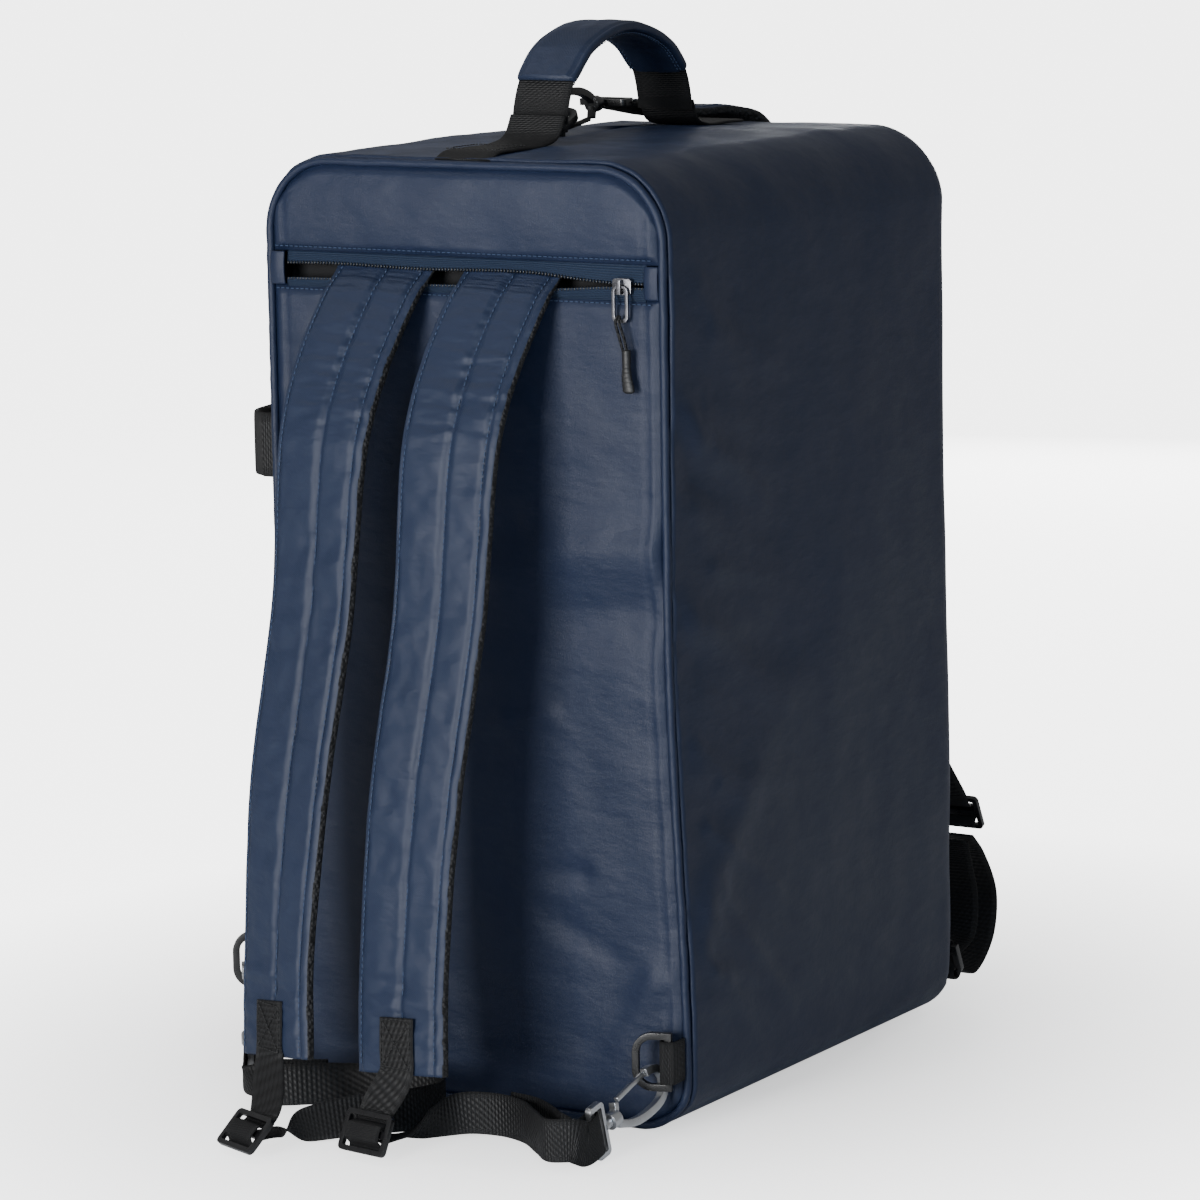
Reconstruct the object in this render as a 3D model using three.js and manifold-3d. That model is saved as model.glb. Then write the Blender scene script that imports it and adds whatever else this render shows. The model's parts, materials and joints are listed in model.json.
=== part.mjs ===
// Soft convertible flight bag, standing on its end: back panel with pull-out
// backpack straps, zipped stash pocket, grab handles and a shoulder strap.
// Millimetres, +Z up. The strap side faces -Y, and the origin is the middle of the base.

import * as THREE from 'three';
import { mergeVertices } from 'three/addons/utils/BufferGeometryUtils.js';
import Module from 'manifold-3d';

const wasm = await Module();
wasm.setup();

// Driving dimensions

const bodyWidth = 270;
const bodyDepth = 346;
const bodyHeight = 552;
const wall = 5;
const edgeRound = 24;
const topCorner = 44;
const gap = 0.3;
const backY = -bodyDepth / 2;
const frontY = bodyDepth / 2;
const halfWidth = bodyWidth / 2;
const panelThick = 4;
const pipingDepth = 6;
const pipingWidth = 4;
const seamTop = 546;
const stashTop = 496;
const stashBottom = 476;
const pocketDepth = 14;
const boardThick = 5;
const lidLeft = -112;
const lidRight = 62;
const lidBottom = 56;
const lidTop = 430;
const lidCorner = 30;
const tapeWidth = 4;
const strapWidth = 65;
const strapThick = 9;
const strapSpacing = 43;
const webWidth = 25;
const webThick = 1.6;
const ringBar = 4;
const ringReach = 19;
const ringHalf = 15;
const handleWidth = 38;
const handleThick = 2.2;
const padWidth = 46;
const archFoot = 17;
const footLift = 0.9;
const lapLength = 5;
const stashCoilTop = 490;
const stashCoilBottom = 479;
const sliderX = 108;
const sliderZ = 484;
const eyeletDepth = 1.8;
const tabTurn = 4.1;
const hookReach = 53.5;
const hookBar = 4.6;
const hookEyeGap = 0.4;
const buckleWidth = 34;
const buckleHeight = 24;
const buckleBar = 3;
const buckleSlot = 7;
const sideHandleZ = 380;
const strapLowX = 117;
const strapHighX = 91;

// Materials

const navyCloth = { color: 0x1b2a49, roughness: 0.55, metalness: 0 };
const navyPad = { color: 0x22345a, roughness: 0.5, metalness: 0 };
const darkLining = { color: 0x1b1512, roughness: 0.8, metalness: 0 };
const blackWeb = { color: 0x121214, roughness: 0.75, metalness: 0 };
const blackPlastic = { color: 0x0c0c0d, roughness: 0.3, metalness: 0 };
const satinZinc = { color: 0xa9adb1, roughness: 0.35, metalness: 1 };
const darkMetal = { color: 0x55585c, roughness: 0.3, metalness: 1 };
const zipTeal = { color: 0x1a2b40, roughness: 0.6, metalness: 0 };
const blackRubber = { color: 0x101011, roughness: 0.6, metalness: 0 };

// Helpers

const axisX = new THREE.Vector3(1, 0, 0);
const axisY = new THREE.Vector3(0, 1, 0);
const axisZ = new THREE.Vector3(0, 0, 1);
const upright = new THREE.Matrix4().makeBasis(axisX, axisZ, axisY.clone().negate());
const group = new THREE.Group();

function point(x, y, z) {
  return new THREE.Vector3(x, y, z);
}

function addMesh(name, geometry, look, parent = group) {
  const mesh = new THREE.Mesh(geometry, new THREE.MeshStandardMaterial(look));
  mesh.name = name;
  parent.add(mesh);
  return mesh;
}

function toSolid(geometry) {
  const bare = geometry.clone();
  bare.deleteAttribute('normal');
  bare.deleteAttribute('uv');
  const merged = mergeVertices(bare, 1e-4);
  const vertProperties = new Float32Array(merged.getAttribute('position').array);
  const triVerts = new Uint32Array(merged.getIndex().array);
  return new wasm.Manifold(new wasm.Mesh({ numProp: 3, vertProperties, triVerts }));
}

function toGeometry(manifold) {
  const mesh = manifold.getMesh();
  const geometry = new THREE.BufferGeometry();
  geometry.setAttribute('position', new THREE.BufferAttribute(mesh.vertProperties, 3));
  geometry.setIndex(new THREE.BufferAttribute(mesh.triVerts, 1));
  geometry.computeVertexNormals();
  return geometry;
}

function box(low, high) {
  const size = high.clone().sub(low);
  const geometry = new THREE.BoxGeometry(size.x, size.y, size.z);
  geometry.translate(low.x + size.x / 2, low.y + size.y / 2, low.z + size.z / 2);
  return geometry;
}

function boxSolid(x0, y0, z0, x1, y1, z1) {
  return toSolid(box(point(x0, y0, z0), point(x1, y1, z1)));
}

// Closed outline with its own radius at the lower and upper corners.
function roundedOutline(left, bottom, right, top, lowRadius, highRadius, Kind = THREE.Shape) {
  const outline = new Kind();
  outline.moveTo(left + lowRadius, bottom);
  outline.lineTo(right - lowRadius, bottom);
  outline.absarc(right - lowRadius, bottom + lowRadius, lowRadius, -Math.PI / 2, 0);
  outline.lineTo(right, top - highRadius);
  outline.absarc(right - highRadius, top - highRadius, highRadius, 0, Math.PI / 2);
  outline.lineTo(left + highRadius, top);
  outline.absarc(left + highRadius, top - highRadius, highRadius, Math.PI / 2, Math.PI);
  outline.lineTo(left, bottom + lowRadius);
  outline.absarc(left + lowRadius, bottom + lowRadius, lowRadius, Math.PI, Math.PI * 1.5);
  return outline;
}

// Plate in the X-Y plane, centred on it.
function flatPlate(shape, depth, curveSegments) {
  const geometry = new THREE.ExtrudeGeometry(shape, { depth, bevelEnabled: false, curveSegments });
  geometry.translate(0, 0, -depth / 2);
  return geometry;
}

// Flat plate in the X-Z plane, from nearY towards -Y.
function uprightPlate(shape, nearY, depth, curveSegments = 6) {
  const geometry = new THREE.ExtrudeGeometry(shape, { depth, bevelEnabled: false, curveSegments });
  geometry.applyMatrix4(upright);
  geometry.translate(0, nearY, 0);
  return geometry;
}

// Flat strip of webbing or padding. Each station has a place, the direction of the
// strip's width there, and how thick the strip is as a share of its full thickness.
function bandAlong(stations, width, thickness, segments, columns = 1) {
  const route = new THREE.CatmullRomCurve3(stations.map((entry) => entry.at));
  const lay = new THREE.CatmullRomCurve3(stations.map((entry) => entry.across));
  const swell = new THREE.CatmullRomCurve3(stations.map((entry) => point(entry.share, 0, 0)));
  const band = new THREE.BoxGeometry(1, thickness, width, segments, 1, columns);
  const position = band.getAttribute('position');
  for (let i = 0; i < position.count; i += 1) {
    const along = Math.min(Math.max(position.getX(i) + 0.5, 0), 1);
    const tangent = route.getTangent(along);
    const across = lay.getPoint(along);
    across.addScaledVector(tangent, -across.dot(tangent)).normalize();
    const normal = new THREE.Vector3().crossVectors(across, tangent);
    const place = route.getPoint(along);
    place.addScaledVector(normal, position.getY(i) * swell.getPoint(along).x);
    place.addScaledVector(across, position.getZ(i));
    position.setXYZ(i, place.x, place.y, place.z);
  }
  return band;
}

function station(x, y, z, across = axisZ, share = 1) {
  return { at: point(x, y, z), across: across.clone().normalize(), share };
}

// Body shell

// Closed block with the bag's corner radii and a rounded front edge.
function bagBlock(inset) {
  const round = edgeRound - inset;
  const side = halfWidth - edgeRound;
  const low = edgeRound;
  const high = bodyHeight - edgeRound;
  const outline = roundedOutline(-side, low, side, high, 1, topCorner - edgeRound);
  const geometry = new THREE.ExtrudeGeometry(outline, {
    depth: bodyDepth,
    bevelThickness: round,
    bevelSize: round,
    bevelSegments: 4,
    curveSegments: 5,
  });
  geometry.applyMatrix4(upright);
  geometry.translate(0, frontY - edgeRound, 0);
  return toSolid(geometry);
}

function buildShell() {
  const wallBack = backY + panelThick + gap;
  const wallFront = frontY - edgeRound - 8;
  const cornerX = halfWidth - topCorner;
  const hollow = bagBlock(0).subtract(bagBlock(wall));
  const walls = hollow.intersect(boxSolid(-200, wallBack, -10, 200, wallFront, 600));
  const middle = bodyHeight / 2;
  const right = walls.intersect(boxSolid(cornerX, -300, -10, 200, 300, 600));
  const left = walls.intersect(boxSolid(-200, -300, -10, -cornerX, 300, 600));
  const inner = cornerX - gap;
  const top = walls.intersect(boxSolid(-inner, -300, middle, inner, 300, 600));
  const bottom = walls.intersect(boxSolid(-inner, -300, -10, inner, 300, middle));
  const frontPart = hollow.intersect(boxSolid(-200, wallFront + gap, -10, 200, 300, 600));
  const opening = roundedOutline(lidLeft, lidBottom, lidRight, lidTop, lidCorner, lidCorner);
  const cutter = toSolid(uprightPlate(opening, frontY + 10, 60));
  addMesh('gusset_right', toGeometry(right), navyCloth);
  addMesh('gusset_left', toGeometry(left), navyCloth);
  addMesh('gusset_top', toGeometry(top), navyCloth);
  addMesh('gusset_bottom', toGeometry(bottom), navyCloth);
  addMesh('front_frame', toGeometry(frontPart.subtract(cutter)), navyCloth);
}

// Back panel, piping and stash pocket

function panelOutline(inset, bottom, top, lowRadius, highRadius, Kind) {
  const side = halfWidth - inset;
  return roundedOutline(-side, bottom, side, top, lowRadius, highRadius, Kind);
}

function buildBack() {
  const inset = pipingWidth + gap;
  const outerY = backY + panelThick;
  const lowRadius = edgeRound - inset;
  const highRadius = topCorner - inset;
  const panel = panelOutline(inset, inset, stashBottom, lowRadius, 1);
  const yoke = panelOutline(inset, stashTop, seamTop, 1, highRadius);
  addMesh('back_panel', uprightPlate(panel, outerY, panelThick), navyCloth);
  addMesh('back_yoke', uprightPlate(yoke, outerY, panelThick), navyCloth);

  const ring = panelOutline(0, 0, seamTop + inset, edgeRound, topCorner);
  const hole = panelOutline(pipingWidth, pipingWidth, seamTop + gap, lowRadius, highRadius, THREE.Path);
  ring.holes.push(hole);
  addMesh('back_piping', uprightPlate(ring, outerY, pipingDepth), navyCloth);

  const boardSide = halfWidth - wall - gap;
  const boardFront = backY + panelThick + pocketDepth + boardThick;
  const boardTop = bodyHeight - wall - gap;
  const board = roundedOutline(-boardSide, wall + gap, boardSide, boardTop, edgeRound, topCorner);
  addMesh('back_board', uprightPlate(board, boardFront, boardThick), darkLining);

  const baseLow = point(-halfWidth + edgeRound, boardFront + 1, wall + gap);
  const baseHigh = point(halfWidth - edgeRound, frontY - edgeRound - 12, wall + gap + 3);
  addMesh('base_board', box(baseLow, baseHigh), darkLining);
}

// Stash zip

function buildStashZip() {
  const side = halfWidth - pipingWidth - 2 * gap;
  const tapeFront = backY + 0.6;
  const tapeBack = backY + 2.4;
  const stopWidth = 9;
  const run = side - stopWidth - gap;
  const upper = box(point(-run, tapeFront, stashCoilTop), point(run, tapeBack, stashTop - gap));
  const lower = box(point(-run, tapeFront, stashBottom + gap), point(run, tapeBack, stashCoilBottom));
  addMesh('stash_zip_upper', upper, zipTeal);
  addMesh('stash_zip_lower', lower, zipTeal);
  for (const [name, sign] of [['stash_end_left', -1], ['stash_end_right', 1]]) {
    const near = sign * (run + gap);
    const far = sign * side;
    const low = point(Math.min(near, far), backY, stashBottom + gap);
    const high = point(Math.max(near, far), backY + 3, stashTop - gap);
    addMesh(name, box(low, high), navyCloth);
  }
}

// Ear on a zip slider, standing out along +Y, with an eyelet for the pull's bar.
function crownSolid() {
  const ear = boxSolid(-1.2, 0, -4, 1.2, eyeletDepth + 2.4, 4);
  return ear.subtract(boxSolid(-2, eyeletDepth - 0.8, -1.8, 2, eyeletDepth + 1.6, 1.8));
}

function buildStashSlider() {
  const bodyFront = backY - 2.6;
  const slider = uprightPlate(roundedOutline(-6, -4.6, 6, 4.6, 2, 2), backY - 0.2, 2.4, 3);
  slider.translate(sliderX, 0, sliderZ);
  const crown = crownSolid();
  const turned = crown.rotate([0, 0, 180]).translate([sliderX, bodyFront + 0.4, sliderZ]);
  addMesh('stash_slider', toGeometry(toSolid(slider).add(turned)), darkMetal);

  const loopThick = 1.4;
  const pullerTop = sliderZ + loopThick / 2;
  const pullerBottom = sliderZ - 20;
  const loop = roundedOutline(-5.2, pullerBottom, 5.2, pullerTop, 3.5, 3.5);
  const holeTop = pullerTop - loopThick;
  loop.holes.push(roundedOutline(-3.4, pullerBottom + 2, 3.4, holeTop, 2, 2, THREE.Path));
  const loopY = bodyFront - eyeletDepth + loopThick / 2;
  const puller = uprightPlate(loop, loopY, loopThick, 4);
  puller.translate(sliderX, 0, 0);
  addMesh('stash_puller', puller, darkMetal);

  const gripTop = pullerBottom - 14;
  const cordPath = [
    station(sliderX + 3.4, loopY - 3.6, pullerBottom + 4, axisX),
    station(sliderX + 4, loopY - 3.9, pullerBottom - 2, axisX),
    station(sliderX + 5, loopY - 3, gripTop, axisX),
  ];
  addMesh('pull_cord', bandAlong(cordPath, 3.6, 1.8, 6), blackWeb);

  const grip = new THREE.Shape();
  grip.moveTo(-3, 0);
  grip.lineTo(3, 0);
  grip.quadraticCurveTo(3.4, -12, 5, -19);
  grip.quadraticCurveTo(5.5, -24.5, 1.5, -25);
  grip.quadraticCurveTo(-2.5, -25, -2.4, -20);
  grip.quadraticCurveTo(-3.4, -10, -3, 0);
  const gripBody = uprightPlate(grip, loopY - 0.5, 5, 4);
  gripBody.translate(sliderX + 5, 0, gripTop - gap);
  addMesh('pull_grip', gripBody, blackRubber);
}

// Backpack straps

// Centre line of a padded strap, top to bottom: place, share of the full thickness,
// sideways drift from its own column, and how far its face turns outward in degrees.
const strapLine = [
  { y: -161.6, z: 514, share: 0.35, drift: -9, turn: 0 },
  { y: -162, z: 502, share: 0.4, drift: -9, turn: 0 },
  { y: -170, z: 486.5, share: 0.5, drift: -11, turn: 0 },
  { y: -183, z: 474, share: 0.9, drift: -12, turn: 0 },
  { y: -206, z: 440, share: 1, drift: -16, turn: 2 },
  { y: -226, z: 400, share: 1, drift: -17, turn: 6 },
  { y: -240, z: 300, share: 1, drift: -19, turn: 12 },
  { y: -256, z: 200, share: 1, drift: -27, turn: 14 },
  { y: -270, z: 100, share: 1, drift: -28, turn: 21 },
  { y: -279, z: 46, share: 1, drift: -24, turn: 21 },
];

function turnedAcross(side, turn) {
  const angle = THREE.MathUtils.degToRad(side < 0 ? turn : turn * 0.4);
  return point(Math.cos(angle), -Math.sin(angle), 0);
}

function strapStations(side) {
  return strapLine.map((row) => {
    const across = turnedAcross(side, row.turn);
    return station(side * strapSpacing + row.drift, row.y, row.z, across, row.share);
  });
}

function buildStrapPad(name, side) {
  addMesh(name, bandAlong(strapStations(side), strapWidth, strapThick, 27), navyPad);
}

// Two-slot slide buckle lying in its own X-Y plane, width along X.
function buckleGeometry() {
  const side = buckleWidth / 2;
  const top = buckleHeight / 2;
  const frame = roundedOutline(-side, -top, side, top, 3, 3);
  const slotSide = side - buckleBar;
  const slotTop = top - buckleBar;
  const slotFoot = slotTop - buckleSlot;
  const upper = roundedOutline(-slotSide, slotFoot, slotSide, slotTop, 1, 1, THREE.Path);
  const lower = roundedOutline(-slotSide, -slotTop, slotSide, -slotFoot, 1, 1, THREE.Path);
  frame.holes.push(upper, lower);
  return flatPlate(frame, buckleBar, 3);
}

// Web threaded through a buckle: behind the top bar, over the middle bar, behind the lower one.
// Distances are up the buckle and out of its face.
const weave = [
  [9.6, -3.5],
  [7, -2.8],
  [5.5, 0],
  [4, 2.8],
  [1.6, 3.5],
  [-1.6, 3.5],
  [-4, 2.8],
  [-5.5, 0],
  [-7, -2.8],
  [-9.6, -3.5],
];

function buildStrapEnd(suffix, side, buckleAt, buckleUp, adjuster) {
  const lastTwo = strapStations(side).slice(-2);
  const across = lastTwo[1].across.clone();
  const up = buckleUp.clone().addScaledVector(across, -buckleUp.dot(across)).normalize();
  const out = new THREE.Vector3().crossVectors(across, up);
  const holder = new THREE.Group();
  holder.position.copy(buckleAt);
  holder.quaternion.setFromRotationMatrix(new THREE.Matrix4().makeBasis(across, up, out));
  group.add(holder);
  addMesh(`slide_buckle_${suffix}`, buckleGeometry(), blackPlastic, holder);

  const lift = strapThick / 2 + webThick / 2 + 1.1;
  const down = lastTwo[1].at.clone().sub(lastTwo[0].at).normalize();
  const face = new THREE.Vector3().crossVectors(down, across).normalize();
  const stations = [30, 14, 0].map((height) => {
    const at = lastTwo[1].at.clone().addScaledVector(down, -height).addScaledVector(face, lift);
    return { at, across, share: 1 };
  });
  for (const [height, depth] of [[15, -3.6], ...weave]) {
    const at = buckleAt.clone().addScaledVector(up, height).addScaledVector(out, depth);
    stations.push({ at, across, share: 1 });
  }
  addMesh(`strap_web_${suffix}`, bandAlong(stations, webWidth, webThick, 60, 2), blackWeb);
  addMesh(`adjuster_web_${suffix}`, bandAlong(adjuster, webWidth, webThick, 96, 3), blackWeb);
}

// D-ring: straight bar along Y through the origin, bow towards +X.
function bowOutline(left, right, half, round, Kind) {
  const outline = new Kind();
  outline.moveTo(left, -half);
  outline.lineTo(right - round, -half);
  outline.absarc(right - round, round - half, round, -Math.PI / 2, 0);
  outline.lineTo(right, half - round);
  outline.absarc(right - round, half - round, round, 0, Math.PI / 2);
  outline.lineTo(left, half);
  return outline;
}

function ringGeometry(round) {
  const bar = ringBar / 2;
  const outer = bowOutline(-bar, ringReach + bar, ringHalf + bar, round, THREE.Shape);
  outer.holes.push(bowOutline(bar, ringReach - bar, ringHalf - bar, round - ringBar, THREE.Path));
  return flatPlate(outer, ringBar, 5);
}

// Strip of even thickness along a centre line in its own X-Y plane.
function ribbonGeometry(centre, thickness, depth, divisions) {
  const curve = new THREE.SplineCurve(centre.map(([x, y]) => new THREE.Vector2(x, y)));
  const left = [];
  const right = [];
  for (let i = 0; i <= divisions; i += 1) {
    const place = curve.getPoint(i / divisions);
    const tangent = curve.getTangent(i / divisions);
    const normal = new THREE.Vector2(-tangent.y, tangent.x).multiplyScalar(thickness / 2);
    left.push(place.clone().add(normal));
    right.push(place.clone().sub(normal));
  }
  const shape = new THREE.Shape([...right, ...left.reverse()]);
  return flatPlate(shape, depth, 1);
}

// Swivel snap hook. X runs from the eye to the bow, the gate is on +Y.
const hookSpine = [
  [14, -1],
  [19, -5.5],
  [30, -9.6],
  [44, -10.4],
  [55, -8.6],
  [61.5, -3.5],
  [63, 3],
  [60, 8.5],
  [54, 10.6],
  [50, 10.6],
];

function buildHook(suffix, holder, look) {
  const eye = roundedOutline(-7, -16.5, 5.5, 16.5, 3, 3);
  eye.holes.push(roundedOutline(-3.8, -13.4, 3, 13.4, 1, 1, THREE.Path));
  const plate = flatPlate(eye, 4, 3);
  const stem = new THREE.CylinderGeometry(3, 3, 5, 12);
  stem.rotateZ(Math.PI / 2);
  stem.translate(7, 0, 0);
  const eyeSolid = toGeometry(toSolid(plate).add(toSolid(stem)));
  const eyeMesh = addMesh(`hook_eye_${suffix}`, eyeSolid, look, holder);

  const barrel = new THREE.CylinderGeometry(5, 5, 7, 14);
  barrel.rotateZ(Math.PI / 2);
  barrel.translate(9.5 + hookEyeGap + 3.5, 0, 0);
  const bow = ribbonGeometry(hookSpine, hookBar, hookBar, 26);
  const lug = ribbonGeometry([[14, 0], [17, 4], [18.6, 8]], 3.4, hookBar, 6);
  const body = toSolid(barrel).add(toSolid(bow)).add(toSolid(lug));
  addMesh(`hook_body_${suffix}`, toGeometry(body), look, holder);

  const gate = ribbonGeometry([[21.2, 8.2], [35, 9.6], [49.4, 10.6]], 2.8, 3.2, 6);
  addMesh(`hook_gate_${suffix}`, gate, look, holder);
  return eyeMesh;
}

// Group whose X axis runs along `axis` and whose Z axis is as near to `face` as it can be.
function framedGroup(at, axis, face) {
  const x = axis.clone().normalize();
  const z = face.clone().addScaledVector(x, -face.dot(x)).normalize();
  const y = new THREE.Vector3().crossVectors(z, x);
  const holder = new THREE.Group();
  holder.position.copy(at);
  holder.quaternion.setFromRotationMatrix(new THREE.Matrix4().makeBasis(x, y, z));
  group.add(holder);
  return holder;
}

// Attachment points: sewn tab, D-ring, and the snap hook clipped through it

// Ring bar at `barAt` along `barWay`; the tab comes from the bag along `outward`.
// `toward` is the way the ring points, and `footing` the bar's height over the bag.
function buildRing(suffix, barAt, barWay, outward, toward, footing, round = 12) {
  const side = new THREE.Vector3().crossVectors(barWay, outward);
  const bends = [[-1, 0.4], [-0.72, 0.72], [0, 1], [0.72, 0.72], [1, 0.4]];
  const rises = bends.map(([off, rise]) => [off * tabTurn, rise * tabTurn]);
  const tab = [[-tabTurn, -footing], ...rises, [tabTurn, -footing]].map(([off, rise]) => {
    const at = barAt.clone().addScaledVector(side, off).addScaledVector(outward, rise);
    return { at, across: barWay, share: 1 };
  });
  addMesh(`ring_tab_${suffix}`, bandAlong(tab, webWidth, 1.5, 24), blackWeb);
  const ring = addMesh(`d_ring_${suffix}`, ringGeometry(round), blackPlastic);
  const out = toward.clone().normalize();
  const face = new THREE.Vector3().crossVectors(out, barWay);
  ring.quaternion.setFromRotationMatrix(new THREE.Matrix4().makeBasis(out, barWay, face));
  ring.position.copy(barAt);
}

// Hook whose bow holds the point `heldAt`; returns the frame of its eye.
function buildHeldHook(suffix, heldAt, axis, face, eyeAcross, look) {
  const eyeAt = heldAt.clone().addScaledVector(axis.clone().normalize(), -hookReach);
  const holder = framedGroup(eyeAt, axis, face);
  const eye = buildHook(suffix, holder, look);
  const x = axis.clone().normalize();
  const y = eyeAcross.clone().addScaledVector(x, -eyeAcross.dot(x)).normalize();
  const z = new THREE.Vector3().crossVectors(x, y);
  const turned = new THREE.Matrix4().makeBasis(x, y, z);
  const own = new THREE.Matrix4().makeRotationFromQuaternion(holder.quaternion);
  eye.quaternion.setFromRotationMatrix(own.transpose().multiply(turned));
  return { eyeAt, x, y, z };
}

// Stations that carry a web round the far bar of a hook's eye, near side first.
function eyeTurn(eye, sign) {
  const near = [[-16, 3.6], [-9, 4], [-2.4, 3]];
  const far = near.map(([along, off]) => [along, -off]).reverse();
  return [...near, [-0.4, 0], ...far].map(([along, off]) => {
    const at = eye.eyeAt.clone().addScaledVector(eye.x, along).addScaledVector(eye.z, sign * off);
    return { at, across: eye.y.clone(), share: 1 };
  });
}

function buildRightStrapEnd() {
  const barAt = point(137.5, -186, 46);
  const toward = point(-0.95, -0.31, 0).normalize();
  buildRing('right', barAt, axisZ, axisY.clone().negate(), toward, 10.4);
  const heldAt = barAt.clone().addScaledVector(toward, 9).addScaledVector(axisZ, -ringHalf);
  const axis = point(0.09, 0.96, 0.25);
  const face = point(0.92, -0.3, 0.15);
  const eye = buildHeldHook('right', heldAt, axis, face, axisZ, satinZinc);
  const adjuster = [
    station(6, -289.5, 9, axisX),
    station(13, -276, 9, point(0.95, 0.2, 0.2)),
    station(20, -258, 12, point(0.6, 0.1, 0.8)),
    station(32, -240, 15.5, point(0.05, 0, 1)),
    station(52, -234, 16),
    station(74, -241, 16.5),
    station(94, -258, 17),
    station(110, -271, 17.5),
    station(124, -266, 17.8),
    ...eyeTurn(eye, 1),
    station(110, -257, 17.6),
    station(98, -246, 17),
    station(78, -232, 16.4),
    station(58, -227, 16),
  ];
  buildStrapEnd('right', 1, point(6, -298, 15), point(0, 0.43, 0.9), adjuster);
}

function buildLeftStrapEnd() {
  const barAt = point(-141, -182, 74);
  const toward = point(-0.85, -0.5, 0).normalize();
  buildRing('left', barAt, axisZ, axisY.clone().negate(), toward, 6.4);
  const heldAt = barAt.clone().addScaledVector(toward, 13).addScaledVector(axisZ, 0.8 - ringHalf);
  const axis = point(-0.45, 0.6, 0.66);
  const eye = buildHeldHook('left', heldAt, axis, toward.clone().negate(), axisZ, satinZinc);
  const adjuster = [
    station(-60, -314.5, 9, axisX),
    station(-52, -303, 9, point(0.95, 0.25, 0.1)),
    station(-36, -290, 13, point(0.6, 0.2, 0.8)),
    station(-14, -270, 16.5, point(0.1, 0, 1)),
    station(6, -250, 17),
    station(14, -232, 18),
    station(4, -219, 18),
    station(-28, -216, 18),
    station(-70, -226, 17),
    station(-98, -240, 16),
    ...eyeTurn(eye, 1),
    station(-100, -228, 16),
    station(-76, -216, 16),
  ];
  buildStrapEnd('left', -1, point(-60, -322, 13), point(0, 0.74, 0.67), adjuster);
}

// Grab handles

function routeStations(route, across) {
  return route.map(([x, y, z]) => station(x, y, z, across));
}

function handleBand(route, across, segments) {
  return bandAlong(routeStations(route, across), handleWidth, handleThick, segments);
}

function buildTopHandle() {
  const base = bodyHeight + handleThick / 2 + footLift;
  const footTop = base + archFoot;
  const rear = [[0, -166, base], [0, -140, base], [0, -112, base], [0, -96, base + 5], [0, -88, footTop]];
  const front = [[0, 58, footTop], [0, 63, base + 6], [0, 76, base], [0, 100, base], [0, 118, base]];
  const rearLap = -88 + handleThick + gap;
  const frontLap = 58 - handleThick - gap;
  const arch = [
    [0, rearLap, footTop - lapLength],
    [0, rearLap + 0.3, footTop + 2],
    [0, -77.5, base + 37],
    [0, -56, base + 55],
    [0, -14, base + 65],
    [0, 28, base + 54],
    [0, 48.5, base + 37],
    [0, frontLap - 0.3, footTop + 2],
    [0, frontLap, footTop - lapLength],
  ];
  addMesh('handle_foot_rear', handleBand(rear, axisX, 14), blackWeb);
  addMesh('handle_foot_front', handleBand(front, axisX, 14), blackWeb);
  addMesh('handle_web', handleBand(arch, axisX, 28), blackWeb);
  const sleeve = arch.slice(2, 7).map(([x, y, z]) => station(x, y * 1.02, z, axisX));
  const grip = bandAlong(sleeve, handleWidth + 3, 7, 24);
  const run = routeStations(arch, axisX);
  const bore = bandAlong(run, handleWidth + 2 * gap, handleThick + 2 * gap, 40);
  addMesh('handle_grip', toGeometry(toSolid(grip).subtract(toSolid(bore))), navyCloth);
}

// The rear foot stands out of the back seam, the front foot lies flat on the side.
function buildSideHandle() {
  const base = -halfWidth - handleThick / 2 - footLift;
  const z = sideHandleZ;
  const footEnd = base - 10;
  const rearY = -164.8;
  const rearLap = rearY + handleThick + gap;
  const endY = 54;
  const frontLap = endY - handleThick - gap;
  const rear = [[base + 1.6, rearY, z], [base - 4, rearY, z], [footEnd, rearY, z]];
  const arch = [
    [footEnd + lapLength, rearLap, z],
    [footEnd - 1, rearLap, z],
    [base - 21, -156, z],
    [base - 28, -132, z],
    [base - 32, -84, z],
    [base - 31, -24, z],
    [base - 23, 26, z],
    [footEnd - 3, frontLap - 1.5, z],
    [footEnd + lapLength, frontLap, z],
  ];
  const front = [[footEnd, endY, z], [base - 4, endY + 1.5, z], [base, 63, z], [base, 84, z]];
  addMesh('side_foot_rear', handleBand(rear, axisZ, 8), blackWeb);
  addMesh('side_foot_front', handleBand(front, axisZ, 10), blackWeb);
  addMesh('side_handle', handleBand(arch, axisZ, 24), blackWeb);
}

// Front lid and its zip

function lidOutline(leftInset, inset, radius, Kind) {
  const left = lidLeft + leftInset;
  const right = lidRight - inset;
  return roundedOutline(left, lidBottom + inset, right, lidTop - inset, radius, radius, Kind);
}

function buildLid() {
  const lid = lidOutline(0.5, 2 * tapeWidth + 1, lidCorner);
  addMesh('front_lid', uprightPlate(lid, frontY, 6), navyCloth);
  buildTape('main_zip_outer', gap);
  buildTape('main_zip_inner', tapeWidth + 2 * gap);
}

// Zip tape on three sides of the lid, open on the hinge side.
function buildTape(name, inset) {
  const inner = inset + tapeWidth;
  const outline = lidOutline(inset, inset, lidCorner - inset);
  outline.holes.push(lidOutline(inner, inner, lidCorner - inner, THREE.Path));
  const ring = toSolid(uprightPlate(outline, frontY - 0.8, 2));
  const hingeSide = boxSolid(-200, 0, 0, lidLeft + lidCorner + 2, 300, 600);
  addMesh(name, toGeometry(ring.subtract(hingeSide)), zipTeal);
}

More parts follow.
